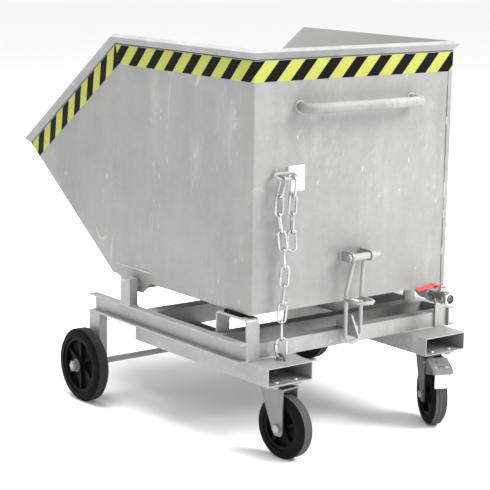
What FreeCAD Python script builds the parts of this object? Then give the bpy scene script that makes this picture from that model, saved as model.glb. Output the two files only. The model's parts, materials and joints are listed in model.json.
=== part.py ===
import FreeCAD, Part
import Sketcher
import math
import os
import re

# Tipping skip trolley: a sheet-metal bin that tips forwards on a wheeled frame with fork pockets.
# Lengths are in millimetres and angles in degrees. X runs forwards from the outer face of the bin's back,
# Y to the trolley's left and Z up from the floor.
SIZES = {
    # distance from the bin's back to the middle of the whole trolley
    "back_offset": 462.5,
    # bin, standing above the frame's rails
    "bin_width": 650, "bin_sheet": 3, "bin_lift": 65, "bin_depth": 644, "floor_length": 614,
    "bin_bottom": "=caster_height + pocket_height + rail_height + bin_lift", "bin_top": "=bin_bottom + bin_depth",
    "kink_x": 609, "lip_x": 1068, "lip_rise": 319, "lip_z": "=bin_bottom + lip_rise", "corner_radius": 2.5,
    # folded bead along the bin's upper edge
    "rim_out": 13, "rim_tip": 7, "rim_drop": 24, "rim_sheet": 2,
    # fork pockets
    "caster_height": 193, "pocket_width": 140, "pocket_height": 48, "pocket_wall": 3, "pocket_inset": 65,
    "pocket_mid": "=bin_width / 2 - pocket_inset", "pocket_overhang": 78, "pocket_front": 497,
    # side rails and cross members, all channels
    "rail_clear": 12, "rail_inner": "=bin_width / 2 + rail_clear", "rail_height": 50, "rail_flange": 25,
    "rail_thick": 5, "rail_overhang": 8,
    "rail_front": 676, "member_thick": 5, "rear_x": 6, "rear_height": 40, "rear_flange": 35,
    "middle_x": 96, "middle_flange": 38, "front_x": 390, "front_flange": 45,
    # rests that carry the bin's rear end
    "rest_width": 40, "rest_thick": 6, "rest_inset": 9, "rest_y": "=bin_width / 2 - rest_inset", "rest_bend": 12,
    "rest_setback": 6, "pad_thick": 8, "pad_length": 70, "pad_start": 22, "pad_margin": 2,
    # pivot
    "pivot_inset": 116, "pivot_x": "=floor_length - pivot_inset", "post_length": 45, "post_wall": 3,
    "post_above": 21, "shaft_dia": 20, "hinge_tube_dia": 27, "hinge_tube_play": 1, "hinge_plate_thick": 6,
    "hinge_plate_back": 60, "hinge_plate_foot": 20, "hinge_plate_front": 100, "hinge_plate_nose": 3,
    # running clearance on the radius of every shaft and pin, and the gap between faces that pass
    "running_gap": 0.05, "side_gap": 0.3,
    # front wheels
    "leg_length": 52, "leg_below": 26, "axle_x": 651, "axle_dia": 16, "front_wheel_dia": 200,
    "front_wheel_width": 40, "front_hub_width": 50, "front_hub_dia": 44, "front_tread": 22.5,
    "front_rim_dia": "=front_wheel_dia - 2 * front_tread", "spacer_dia": 28, "spacer_length": 8,
    "front_wheel_y": "=rail_inner + rail_flange + spacer_length + front_hub_width / 2",
    "axle_nut_flats": 27, "axle_nut_height": 13, "axle_washer_dia": 34, "axle_washer_thick": 1, "axle_end": 2,
    # casters
    "caster_x": -18, "caster_trail": 38, "caster_head": 33, "caster_wheel_dia": "=caster_height - caster_head",
    "caster_wheel_width": 40, "caster_tread": 22, "caster_rim_dia": "=caster_wheel_dia - 2 * caster_tread",
    "caster_hub_width": 45, "caster_hub_dia": 36, "caster_axle_dia": 12, "fork_inner": 48, "fork_sheet": 4,
    "fork_front": 27, "fork_half": 16, "fork_below": 20, "caster_nut_flats": 18, "caster_nut_height": 7,
    "swivel_dia": 64, "swivel_height": 8, "plate_length": 105, "plate_width": 85, "plate_thick": 5,
    "bolt_pitch_long": 80, "bolt_pitch_wide": 60, "bolt_dia": 10, "bolt_flats": 16,
    "bolt_head_dia": 18, "bolt_head": 3.5, "bolt_nut": 6, "bolt_end": 0.8,
    "left_heading": 187, "right_heading": 154, "pedal_width": 45, "pedal_reach": 128, "pedal_lip": 25,
    "pedal_drop": 62, "pedal_notch": 1.5, "pedal_pin_dia": 6, "pedal_roof_width": 54, "pedal_corner": 2.2,
    # push handle
    "handle_dia": 25, "handle_wall": 2.5, "handle_inset": 131, "handle_half": "=bin_width / 2 - handle_inset",
    "handle_reach": 45, "handle_below": 144, "handle_z": "=bin_top - handle_below",
    "handle_droop": 2, "handle_bend": 24, "handle_splay": 11,
    # latch
    "latch_y": 17, "latch_x": 35.8, "latch_rise": 118, "latch_z": "=bin_bottom + latch_rise", "latch_pin_dia": 12,
    "sleeve_dia": 18, "lug_width": 27,
    "lug_thick": 6, "sleeve_left": 35, "sleeve_right": -22, "bail_dia": 10, "bail_half": 25,
    "bail_x": 26, "bail_rise": 11, "bail_bottom": "=caster_height + pocket_height + bail_rise", "knee_rise": 29,
    "bail_knee": "=bin_bottom + knee_rise", "grip_rise": 9, "grip_z": "=bin_bottom + grip_rise", "grip_reach": 86,
    "catch_thick": 6,
    # safety chain
    "staple_dia": 8, "staple_inset": 88, "staple_y": "=bin_width / 2 - staple_inset", "staple_length": 54,
    "staple_inside": 18, "staple_reach": 28, "staple_rise": 333, "staple_z": "=bin_bottom + staple_rise",
    "chain_inset": 75, "chain_y": "=bin_width / 2 - chain_inset", "chain_sway": 20, "spare_inset": 102,
    "spare_y": "=bin_width / 2 - spare_inset", "link_wire": 6, "link_inside": 12,
    "link_play": 0.4, "chain_turn": 37.5, "link_twist": 12.5, "quick_wire": 6.5, "quick_inside": 18,
    "quick_length": 57, "eye_dia": 7, "eye_half": 13, "eye_height": 12.5,
    # drain valve
    "drain_x": 40, "drain_inset": 55, "drain_y": "=bin_width / 2 - drain_inset", "drain_drop": 20,
    "drain_pipe_dia": 27, "drain_bore": 20, "drain_bend": 18,
    "outlet_bore": 24, "outlet_depth": 14,
    "valve_start": 12, "valve_end": 80, "valve_mid": 48, "valve_flats": 33, "valve_barrel_dia": 36,
    "grip_ring_dia": 40, "grip_ring_length": 11,
    "ball_dia": 28, "ball_bore": 18, "stem_dia": 8, "boss_dia": 16, "lever_length": 91, "lever_width": 16,
}

CHAIN_LINKS = 9
SPARE_LINKS = 4
V = FreeCAD.Vector
X_AXIS, Y_AXIS, Z_AXIS = V(1, 0, 0), V(0, 1, 0), V(0, 0, 1)
ALONG_Y = FreeCAD.Rotation(X_AXIS, -90)
ALONG_X = FreeCAD.Rotation(Y_AXIS, 90)

doc = FreeCAD.newDocument("tipping_skip")
sheet = doc.addObject("Spreadsheet::Sheet", "Sizes")
for row, name in enumerate(SIZES, 1):
    sheet.set("A%d" % row, name)
    sheet.setAlias("B%d" % row, name)
for row, value in enumerate(SIZES.values(), 1):
    sheet.set("B%d" % row, str(value))
doc.recompute()
nodes = []


def size(name):
    """One size from the sheet, as a plain number."""
    return float(sheet.get(name))


def cells(text):
    """An expression in which each size is named as its cell of the sheet."""
    return re.sub(r"[a-z]\w+", lambda hit: "Sizes." * (hit.group() in SIZES) + hit.group(), str(text))


def bind(obj, **values):
    """Bind properties of an object to expressions over the sheet."""
    for name, text in values.items():
        obj.setExpression(name, cells(text))


def locate(obj, x="0", y="0", z="0"):
    """Bind an object's position to expressions over the sheet."""
    for axis, text in zip("xyz", (x, y, z)):
        obj.setExpression("Placement.Base." + axis, cells(text))


def keep(obj, label, x="0", y="0", z="0"):
    """Name a finished sub-part and put it at its place in the trolley's own frame."""
    obj.Label = label
    locate(obj, "%s - back_offset" % x, y, z)
    nodes.append(obj)


# Sketched sub-parts

def new_sketch(body, role):
    """An empty sketch on one of the body's own origin planes."""
    plane = next(item for item in body.Origin.OriginFeatures if item.Role == role)
    sketch = body.newObject("Sketcher::SketchObject", "Sketch")
    sketch.AttachmentSupport = [(plane, "")]
    sketch.MapMode = "FlatFace"
    return sketch


def fix_point(sketch, geometry, point, u, v):
    """Hold one point of the sketch at a bound distance from its origin."""
    for kind, text in (("DistanceX", u), ("DistanceY", v)):
        number = sketch.addConstraint(Sketcher.Constraint(kind, -1, 1, geometry, point, 1.0))
        sketch.setExpression("Constraints[%d]" % number, cells(text))


def polygon(sketch, points):
    """Add a closed outline whose corners are bound to the sheet."""
    count = len(points)
    first = sketch.GeometryCount
    corners = [V(math.cos(2 * math.pi * i / count), math.sin(2 * math.pi * i / count), 0) for i in range(count)]
    for i in range(count):
        sketch.addGeometry(Part.LineSegment(corners[i], corners[(i + 1) % count]))
    for i in range(count):
        sketch.addConstraint(Sketcher.Constraint("Coincident", first + i, 2, first + (i + 1) % count, 1))
    for i, (u, v) in enumerate(points):
        fix_point(sketch, first + i, 1, u, v)


def circles(sketch, centres, radius):
    """Add equal circles whose centres and radius are bound to the sheet."""
    for u, v in centres:
        number = sketch.addGeometry(Part.Circle(V(0, 0, 0), Z_AXIS, 1))
        fix_point(sketch, number, 3, u, v)
        rule = sketch.addConstraint(Sketcher.Constraint("Radius", number, 1.0))
        sketch.setExpression("Constraints[%d]" % rule, cells(radius))


def extrude(body, kind, sketch, length, symmetric=False, reverse=False):
    """Pad or pocket a sketch by a bound length."""
    feature = body.newObject("PartDesign::" + kind, kind)
    feature.Profile = sketch
    bind(feature, Length=length)
    feature.SideType = "Symmetric" if symmetric else "One side"
    feature.Reversed = reverse
    body.Tip = feature
    return feature


def new_body():
    """An empty body for one sub-part."""
    return doc.addObject("PartDesign::Body", "Body")


def plate(role, points, thickness, symmetric=True):
    """A flat piece of constant thickness from one outline."""
    body = new_body()
    sketch = new_sketch(body, role)
    polygon(sketch, points)
    extrude(body, "Pad", sketch, thickness, symmetric)
    return body


def pierce(body, role, centres, radius, length, symmetric=True, reverse=False):
    """Drill equal round holes through a body."""
    sketch = new_sketch(body, role)
    circles(sketch, centres, radius)
    return extrude(body, "Pocket", sketch, length, symmetric, reverse)


def round_edges(body, radius, wanted):
    """Round the edges of a body that a test picks out."""
    doc.recompute()
    base = body.Tip
    names = ["Edge%d" % i for i, edge in enumerate(base.Shape.Edges, 1) if wanted(edge)]
    feature = body.newObject("PartDesign::Fillet", "Fillet")
    feature.Base = (base, names)
    bind(feature, Radius=radius)
    body.Tip = feature


def turned(points):
    """A turned piece about the Y axis, from an outline of (distance along Y, radius)."""
    body = new_body()
    sketch = new_sketch(body, "YZ_Plane")
    polygon(sketch, points)
    feature = body.newObject("PartDesign::Revolution", "Revolution")
    feature.Profile = sketch
    feature.ReferenceAxis = (sketch, ["H_Axis"])
    feature.Angle = 360
    body.Tip = feature
    return body


def rectangle(u0, u1, v0, v1):
    """The corners of an upright rectangle."""
    return [(u0, v0), (u1, v0), (u1, v1), (u0, v1)]


def channel(web, flange, bottom, top, thick, side=""):
    """The corners of a channel section whose web stands at one edge and whose flanges point to a side."""
    tip = "%s(%s + %s)" % (side, web, flange)
    inside = "%s(%s + %s)" % (side, web, thick)
    back = "%s(%s)" % (side, web)
    low, high = "%s + %s" % (bottom, thick), "%s - %s" % (top, thick)
    return [(back, bottom), (tip, bottom), (tip, low), (inside, low), (inside, high), (tip, high), (tip, top),
            (back, top)]


# Primitives and booleans

def box(x0, x1, y0, y1, z0, z1):
    """A box between bound planes."""
    obj = doc.addObject("Part::Box", "Box")
    bind(obj, Length="(%s) - (%s)" % (x1, x0), Width="(%s) - (%s)" % (y1, y0), Height="(%s) - (%s)" % (z1, z0))
    locate(obj, x0, y0, z0)
    return obj


def rod(radius, length, x, y, z, turn=None):
    """A cylinder from a bound point, upright or turned along another axis."""
    obj = doc.addObject("Part::Cylinder", "Rod")
    if turn:
        obj.Placement = FreeCAD.Placement(V(), turn)
    bind(obj, Radius=radius, Height=length)
    locate(obj, x, y, z)
    return obj


def cut(base, *tools):
    """Take tools away from a base, one after another."""
    for tool in tools:
        result = doc.addObject("Part::Cut", "Cut")
        result.Base, result.Tool = base, tool
        base = result
    return base


def fuse(*shapes):
    """Join shapes into one solid."""
    result = doc.addObject("Part::MultiFuse", "Fuse")
    result.Shapes = list(shapes)
    result.Refine = True
    return result


def group(pieces):
    """Like pieces that count as one sub-part."""
    result = doc.addObject("Part::Compound", "Group")
    result.Links = pieces
    return result


# Free shapes: bent bar, links and fasteners

def feature(shape):
    """A document object for a shape made from the sheet's sizes."""
    obj = doc.addObject("Part::Feature", "Shape")
    obj.Shape = shape
    return obj


def bent_bar(points, diameter, bend):
    """A round bar along straight runs joined by tangent arcs."""
    edges = []
    start = points[0]
    for before, corner, after in zip(points, points[1:], points[2:]):
        back, ahead = (before - corner).normalize(), (after - corner).normalize()
        half = back.getAngle(ahead) / 2
        first = corner + back * (bend / math.tan(half))
        last = corner + ahead * (bend / math.tan(half))
        middle = corner + (back + ahead).normalize() * (bend / math.sin(half) - bend)
        edges += [Part.LineSegment(start, first).toShape(), Part.Arc(first, middle, last).toShape()]
        start = last
    edges.append(Part.LineSegment(start, points[-1]).toShape())
    section = Part.Wire(Part.makeCircle(diameter / 2, points[0], points[1] - points[0]))
    return Part.Wire(edges).makePipeShell([section], True, False)


def chain_link(length, width, wire):
    """An upright link in the XZ plane with the given inside length and width."""
    radius = (width + wire) / 2
    half = length / 2 - width / 2
    top = Part.makeTorus(radius, wire / 2, V(0, half, 0), Z_AXIS, 0, 360, 180)
    low = top.copy()
    low.rotate(V(), Z_AXIS, 180)
    legs = [Part.makeCylinder(wire / 2, 2 * half, V(side * radius, -half, 0), Y_AXIS) for side in (-1, 1)]
    link = top.fuse([low] + legs).removeSplitter()
    link.rotate(V(), X_AXIS, 90)
    return link


def hexagon(flats, height, base, axis):
    """A hexagonal prism from a base point along an axis."""
    radius = flats / math.sqrt(3)
    corners = [V(radius * math.cos(math.pi * i / 3), radius * math.sin(math.pi * i / 3), 0) for i in range(7)]
    prism = Part.Face(Part.makePolygon(corners)).extrude(Z_AXIS * height)
    prism.Placement = FreeCAD.Placement(base, FreeCAD.Rotation(Z_AXIS, axis))
    return prism


def drilled(shape, radius, length, base, axis):
    """A shape with one round hole through it."""
    return shape.cut(Part.makeCylinder(radius, length, base, axis))


# Heights that several pieces share
RAIL_BOTTOM = "(caster_height + pocket_height)"
RAIL_TOP = "(caster_height + pocket_height + rail_height)"
REAR_TOP = "(caster_height + pocket_height + rear_height)"
PIVOT_Z = "(bin_bottom - hinge_tube_dia / 2)"
SIDES = (("left", "", 1), ("right", "-", -1))
rail_bottom = size("caster_height") + size("pocket_height")
gap = size("side_gap")


def make_frame():
    """Rails, fork pockets, cross members, pivot, legs, bin rests and catch."""
    inner_leg = "(middle_x + middle_flange - rest_thick - rest_setback)"
    strip_top = "(bin_bottom - pad_thick)"
    pads = []
    for side, sign, way in SIDES:
        rail = plate("YZ_Plane", channel("rail_inner", "rail_flange", RAIL_BOTTOM, RAIL_TOP, "rail_thick", sign),
                     "rail_overhang + rail_front", False)
        keep(rail, "rail_" + side, "-rail_overhang")

        pocket = new_body()
        sketch = new_sketch(pocket, "YZ_Plane")
        near, far = "(pocket_mid - pocket_width / 2)", "(pocket_mid + pocket_width / 2)"
        polygon(sketch, rectangle(sign + near, sign + far, "caster_height", RAIL_BOTTOM))
        polygon(sketch, rectangle("%s(%s + pocket_wall)" % (sign, near), "%s(%s - pocket_wall)" % (sign, far),
                                  "caster_height + pocket_wall", RAIL_BOTTOM + " - pocket_wall"))
        extrude(pocket, "Pad", sketch, "pocket_overhang + pocket_front")
        holes = [("pocket_overhang + caster_x %s bolt_pitch_long / 2" % u,
                  "%spocket_mid %s bolt_pitch_wide / 2" % (sign, v)) for u in "+-" for v in "+-"]
        pierce(pocket, "XY_Plane", holes, "bolt_dia / 2 + side_gap", "caster_height + 2 * pocket_wall",
               False, True)
        keep(pocket, "fork_pocket_" + side, "-pocket_overhang")

        post = new_body()
        sketch = new_sketch(post, "XY_Plane")
        start, end = "-post_length / 2", "post_length / 2"
        polygon(sketch, rectangle(start, end, sign + "rail_inner", sign + "(rail_inner + rail_flange)"))
        height = PIVOT_Z + " + post_above - " + RAIL_TOP
        extrude(post, "Pad", sketch, height)
        sketch = new_sketch(post, "XY_Plane")
        polygon(sketch, rectangle("post_wall - post_length / 2", "post_length / 2 - post_wall",
                                  sign + "(rail_inner + post_wall)",
                                  sign + "(rail_inner + rail_flange - post_wall)"))
        extrude(post, "Pocket", sketch, height + " - post_wall", False, True)
        pierce(post, "XZ_Plane", [("0", PIVOT_Z + " - " + RAIL_TOP)], "shaft_dia / 2 + running_gap",
               "2 * (rail_inner + 1.5 * post_wall)")
        keep(post, "pivot_post_" + side, "pivot_x", z=RAIL_TOP)

        leg = new_body()
        sketch = new_sketch(leg, "XY_Plane")
        polygon(sketch, rectangle("-leg_length / 2", "leg_length / 2", sign + "rail_inner",
                                  sign + "(rail_inner + rail_flange)"))
        polygon(sketch, rectangle("post_wall - leg_length / 2", "leg_length / 2 - post_wall",
                                  sign + "(rail_inner + post_wall)",
                                  sign + "(rail_inner + rail_flange - post_wall)"))
        extrude(leg, "Pad", sketch, RAIL_BOTTOM + " - front_wheel_dia / 2 + leg_below")
        pierce(leg, "XZ_Plane", [("0", "leg_below")], "axle_dia / 2 + running_gap", "4 * rail_inner")
        keep(leg, "front_leg_" + side, "axle_x", z="front_wheel_dia / 2 - leg_below")

        rest = plate("XZ_Plane", [("rear_x - rest_thick", RAIL_BOTTOM), ("rear_x - rest_thick", strip_top),
                                  (inner_leg + " + rest_thick", strip_top),
                                  (inner_leg + " + rest_thick", RAIL_TOP), (inner_leg, RAIL_TOP),
                                  (inner_leg, strip_top + " - rest_thick"),
                                  ("rear_x", strip_top + " - rest_thick"), ("rear_x", RAIL_BOTTOM)], "rest_width")
        crown = size("bin_bottom") - size("pad_thick")
        for radius, level in (("rest_bend", crown), ("rest_bend / 2", crown - size("rest_thick"))):
            round_edges(rest, radius, lambda edge: abs(edge.Vertexes[0].Z - level) < 0.01
                        and abs(edge.Vertexes[-1].Z - level) < 0.01
                        and abs(edge.tangentAt(edge.FirstParameter).y) > 0.99)
        keep(rest, "bin_rest_" + side, y=sign + "rest_y")

        edge = "(%srest_y - rest_width / 2)" % sign
        pads.append(box("rear_x + pad_start", "rear_x + pad_start + pad_length", edge + " + pad_margin",
                        edge + " + rest_width - pad_margin", strip_top, "bin_bottom"))
    keep(group(pads), "rest_pads")

    for name, start, flange, top in (("rear", "rear_x", "rear_flange", REAR_TOP),
                                     ("middle", "middle_x", "middle_flange", RAIL_TOP),
                                     ("front", "front_x", "front_flange", RAIL_TOP)):
        member = plate("XZ_Plane", channel(start, flange, RAIL_BOTTOM, top, "member_thick"), "2 * rail_inner")
        keep(member, "cross_member_" + name)

    reach = "(rail_inner + rail_flange - post_wall - side_gap)"
    keep(rod("shaft_dia / 2", "2 * " + reach, "0", "0", "0", ALONG_Y), "pivot_shaft", "pivot_x", "-" + reach,
         PIVOT_Z)
    end = "(front_wheel_y + front_hub_width / 2 + axle_washer_thick + axle_nut_height + axle_end)"
    keep(rod("axle_dia / 2", "2 * " + end, "0", "0", "0", ALONG_Y), "front_axle", "axle_x", "-" + end,
         "front_wheel_dia / 2")

    catch = plate("XZ_Plane", [("rear_x", REAR_TOP + " - 14"), ("rear_x", REAR_TOP),
                               ("rear_x + rear_flange - 5", REAR_TOP),
                               ("rear_x + rear_flange - 5", REAR_TOP + " + 14"),
                               ("-2", REAR_TOP + " + 41"), ("5 - bail_x", REAR_TOP + " + 41"),
                               ("-bail_x - 26", REAR_TOP + " - 14")], "catch_thick")
    keep(catch, "catch_plate", y="latch_y")

    middle, half = -size("staple_reach"), size("eye_half")
    low, high = rail_bottom, rail_bottom + size("eye_height")
    corners = ((-half, low), (-half, high), (half, high), (half, low))
    eye = bent_bar([V(middle + u, size("chain_y"), z) for u, z in corners], size("eye_dia"), size("eye_dia"))
    keep(feature(eye), "chain_eye")


def make_axle_fasteners():
    """A spacer inside and a nut outside each front wheel."""
    x, z = size("axle_x"), size("front_wheel_dia") / 2
    bore = size("axle_dia") / 2 + size("running_gap")
    hub = size("front_hub_width") / 2
    leg = size("rail_inner") + size("rail_flange")
    solids = []
    for way in (1, -1):
        axis = Y_AXIS * way
        spacer = Part.makeCylinder(size("spacer_dia") / 2, size("front_wheel_y") - hub - leg - gap,
                                   V(x, way * leg, z), axis)
        start = V(x, way * (size("front_wheel_y") + hub + gap), z)
        washer = Part.makeCylinder(size("axle_washer_dia") / 2, size("axle_washer_thick"), start, axis)
        nut = washer.fuse(hexagon(size("axle_nut_flats"), size("axle_nut_height"), start, axis))
        solids += [drilled(piece, bore, size("bin_width"), V(x, 0, z), axis) for piece in (spacer, nut)]
    keep(feature(Part.makeCompound(solids)), "axle_nuts_and_spacers")


def make_bin():
    """Side, back, floor and chute sheets, joined at their edges."""
    half = "(bin_width / 2 - bin_sheet)"
    outline = [("0", "bin_bottom"), ("floor_length", "bin_bottom"), ("lip_x", "lip_z"), ("kink_x", "bin_top"),
               ("0", "bin_top")]
    for side, sign, way in SIDES:
        wall = plate("XZ_Plane", outline, "bin_sheet")
        round_edges(wall, "corner_radius", lambda edge: abs(edge.tangentAt(edge.FirstParameter).z) > 0.99
                    and abs(edge.Vertexes[0].X) < 0.01 and edge.Vertexes[0].Y * way > 0)
        keep(wall, "bin_side_" + side, y="%s(bin_width / 2 - bin_sheet / 2)" % sign)
    keep(box("0", "bin_sheet", "-" + half, half, "bin_bottom", "bin_top"), "bin_back", y="-" + half,
         z="bin_bottom")

    base = box("bin_sheet", "floor_length - bin_sheet", "-" + half, half, "bin_bottom", "bin_bottom + bin_sheet")
    drain = rod("drain_bore / 2", "bin_bottom * 2", "drain_x", "-drain_y", "0")
    keep(cut(base, drain), "bin_floor")

    run, rise = "(lip_x - floor_length)", "(lip_z - bin_bottom)"
    length = "sqrt(%s ^ 2 + %s ^ 2)" % (run, rise)
    back = "bin_sheet * %s / %s" % (rise, length)
    lift = "bin_sheet * %s / %s" % (run, length)
    chute = plate("XZ_Plane", [("floor_length", "bin_bottom"), ("lip_x", "lip_z"),
                               ("lip_x - " + back, "lip_z + " + lift),
                               ("floor_length - " + back, "bin_bottom + " + lift)], "2 * " + half)
    keep(chute, "bin_chute")


def make_rim():
    """The folded bead, mitred at the rear corners and at the two bends of the sides."""
    out, tip, drop, thick = (size(name) for name in ("rim_out", "rim_tip", "rim_drop", "rim_sheet"))
    upper, lower = 1.2 * thick, 1.6 * thick
    inside = out * (1 - (upper + lower) / drop)
    profile = [(0, 0), (out, tip), (0, drop), (0, drop - lower), (inside, upper + inside * tip / out), (0, upper)]
    half, top = size("bin_width") / 2, size("bin_top")
    kink, lip_x, lip_z = size("kink_x"), size("lip_x"), size("lip_z")
    slope = math.atan2(top - lip_z, lip_x - kink)
    chute = math.atan2(lip_z - size("bin_bottom"), lip_x - size("floor_length"))

    def rear(way):
        return [V(-o, way * (half + o), top - d) for o, d in profile]

    def bend(way):
        return [V(kink - d * math.tan(slope / 2), way * (half + o), top - d) for o, d in profile]

    def lip(way):
        return [V(lip_x - d / math.sin(slope + chute) * math.cos(chute), way * (half + o),
                  lip_z - d / math.sin(slope + chute) * math.sin(chute)) for o, d in profile]

    def length(first, last):
        ends = [Part.makePolygon(points + points[:1]) for points in (first, last)]
        return feature(Part.makeLoft(ends, True, True))

    for side, sign, way in SIDES:
        keep(length(rear(way), bend(way)), "rim_" + side)
        keep(length(bend(way), lip(way)), "rim_slope_" + side)
    keep(length(rear(1), rear(-1)), "rim_back")


def make_handle():
    """The push handle, a bent tube across the back whose ends splay outwards from the wall."""
    reach, half, z = -size("handle_reach"), size("handle_half"), size("handle_z")
    root, foot = z + size("handle_droop"), half - size("handle_splay")
    route = [V(0, foot, root), V(-6, foot, root), V(reach, half, z), V(reach, -half, z), V(-6, -foot, root),
             V(0, -foot, root)]
    outside = bent_bar(route, size("handle_dia"), size("handle_bend"))
    hollow = bent_bar(route, size("handle_dia") - 2 * size("handle_wall"), size("handle_bend"))
    keep(feature(outside.cut(hollow)), "push_handle")


def make_hinge():
    """The tube that turns on the pivot shaft and three plates that carry it under the floor."""
    end = "(rail_inner - hinge_tube_play)"
    tube = rod("hinge_tube_dia / 2", "2 * " + end, "pivot_x", "-" + end, PIVOT_Z, ALONG_Y)
    bore = rod("shaft_dia / 2 + running_gap", "4 * " + end, "pivot_x", "-2 * " + end, PIVOT_Z, ALONG_Y)
    keep(cut(tube, bore), "hinge_tube")

    body = new_body()
    sketch = new_sketch(body, "XZ_Plane")
    under = "-hinge_tube_dia * 0.7"
    top = "hinge_tube_dia / 2"
    nose = "hinge_plate_nose"
    polygon(sketch, [("-hinge_plate_back", top), ("-hinge_plate_foot", under), ("hinge_plate_foot", under),
                     ("hinge_plate_front - 8 * " + nose, top + " - 2.7 * " + nose),
                     ("hinge_plate_front", top + " - " + nose), ("hinge_plate_front", top)])
    pad = extrude(body, "Pad", sketch, "hinge_plate_thick", True)
    hole = pierce(body, "XZ_Plane", [("0", "0")], "hinge_tube_dia / 2 + running_gap", "3 * hinge_plate_thick")
    doc.recompute()
    row = body.newObject("PartDesign::LinearPattern", "Row")
    row.Originals = [pad, hole]
    row.Direction = (sketch, ["N_Axis"])
    bind(row, Length="bin_width - 2 * hinge_plate_thick")
    row.Occurrences = 3
    body.Tip = row
    keep(body, "hinge_plates", "pivot_x", "bin_width / 2 - hinge_plate_thick", PIVOT_Z)


def make_latch():
    """Two lugs and a pin on the bin's back, with a sleeve, a loop and a grip that swing on the pin."""
    x, z = "-latch_x", "latch_z"
    pin = "latch_pin_dia / 2 + running_gap"
    ears = []
    for near in ("sleeve_left", "(sleeve_right - lug_thick)"):
        ear = fuse(box(x, "0", near, near + " + lug_thick", z + " - lug_width / 2", z + " + lug_width / 2"),
                   rod("lug_width / 2", "lug_thick", x, near, z, ALONG_Y))
        ears.append(cut(ear, rod(pin, "bin_width", x, "-bin_width / 2", z, ALONG_Y)))
    keep(group(ears), "latch_lugs")

    sleeve = rod("sleeve_dia / 2", "sleeve_left - sleeve_right - 2 * side_gap", x, "sleeve_right + side_gap", z,
                 ALONG_Y)
    keep(cut(sleeve, rod(pin, "bin_width", x, "-bin_width / 2", z, ALONG_Y)), "latch_sleeve")

    axis_x, axis_z = -size("latch_x"), size("latch_z")
    right = size("sleeve_right") - size("lug_thick") - gap
    left = size("sleeve_left") + size("lug_thick") + gap
    shank = Part.makeCylinder(size("latch_pin_dia") / 2, left - right + 28, V(axis_x, right - 28, axis_z), Y_AXIS)
    nut = hexagon(19, 10, V(axis_x, right - 10, axis_z), Y_AXIS)
    head = hexagon(19, 7, V(axis_x, left, axis_z), Y_AXIS)
    keep(feature(shank.fuse([nut, head])), "latch_pin")

    bar, half, middle = size("bail_dia"), size("bail_half"), size("latch_y")
    leg_x, knee, low = -size("bail_x"), size("bail_knee"), size("bail_bottom")
    left, right = middle + half, middle - half
    route = [V(axis_x, left - 17, axis_z), V(leg_x, left, knee), V(leg_x, left, low), V(leg_x, right, low),
             V(leg_x, right, knee), V(axis_x, right + 3, axis_z)]
    loop = bent_bar(route, bar, half - 0.5)
    loop = drilled(loop, size("sleeve_dia") / 2 + 0.1, 4 * half, V(axis_x, middle - 2 * half, axis_z), Y_AXIS)
    keep(feature(max(loop.Solids, key=lambda solid: solid.Volume)), "latch_loop")

    grip_x, grip_z = -size("grip_reach"), size("grip_z")
    route = [V(leg_x, left, grip_z), V(grip_x, left, grip_z), V(grip_x, right, grip_z), V(leg_x, right, grip_z)]
    grip = bent_bar(route, bar, half - 0.5)
    for y in (left, right):
        grip = drilled(grip, bar / 2 + 0.1, 200, V(leg_x, y, grip_z - 100), Z_AXIS)
    keep(feature(max(grip.Solids, key=lambda solid: solid.Volume)), "latch_grip")


def strand(start, drop, sway):
    """Equal interlocked links that hang from a point, twist and lean as the sway of their joints asks."""
    count = len(sway) - 1
    pitch = drop / count
    for _ in range(6):
        steps = [math.sqrt(pitch ** 2 - (low - high) ** 2) for high, low in zip(sway, sway[1:])]
        pitch *= drop / sum(steps)
    links = []
    z = start.z
    for i, step in enumerate(steps):
        link = chain_link(pitch + size("link_play"), size("link_inside"), size("link_wire"))
        link.rotate(V(), Z_AXIS, 90 * (i % 2) - min(i * size("link_twist"), size("chain_turn")))
        link.rotate(V(), X_AXIS, -math.degrees(math.asin((sway[i] - sway[i + 1]) / pitch)))
        link.translate(V(start.x, start.y + (sway[i] + sway[i + 1]) / 2, z - step / 2))
        links.append(link)
        z -= step
    return links, pitch


def make_chain():
    """The ring on the bin's back, the chain's two strands and the quick link at the frame's eye."""
    reach, z, bar, play = -size("staple_reach"), size("staple_z"), size("staple_dia"), size("link_play")
    ring = chain_link(size("staple_length"), size("staple_inside"), bar)
    ring.rotate(V(), X_AXIS, 90)
    across = size("staple_inside") + bar
    back = -bar / 2 - 0.1
    tilt = math.acos((back - reach) / across)
    ring.rotate(V(), Y_AXIS, -math.degrees(tilt))
    ring.translate(V((back + reach) / 2, size("staple_y"), z + across * math.sin(tilt) / 2))
    keep(feature(Part.makeCompound([ring])), "chain_staple")

    wire = size("quick_wire")
    quick_inside = size("quick_length") - 2 * wire
    eye_under = rail_bottom + size("eye_height") - size("eye_dia") / 2
    quick_z = eye_under - gap + quick_inside / 2
    top = z + bar / 2 + play / 2
    sway = [size("chain_sway") * math.sin(0.8 * i + 0.2) * (1 - i / CHAIN_LINKS) ** 1.2
            for i in range(CHAIN_LINKS + 1)]
    links, pitch = strand(V(reach, size("chain_y"), top), top - quick_z - quick_inside / 2 + play / 2, sway)
    spare, pitch = strand(V(reach, size("spare_y"), top), pitch * SPARE_LINKS, [0] * (SPARE_LINKS + 1))
    keep(feature(Part.makeCompound(links + spare)), "chain")

    quick = chain_link(quick_inside, size("quick_inside"), wire)
    side = V((size("quick_inside") + wire) / 2, 0, 0)
    quick = quick.fuse(hexagon(11, 17, side - Z_AXIS * 8.5, Z_AXIS))
    quick.rotate(V(), Z_AXIS, 90 - size("chain_turn"))
    quick.translate(V(reach, size("chain_y"), quick_z))
    keep(feature(Part.makeCompound([quick])), "quick_link")


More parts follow.
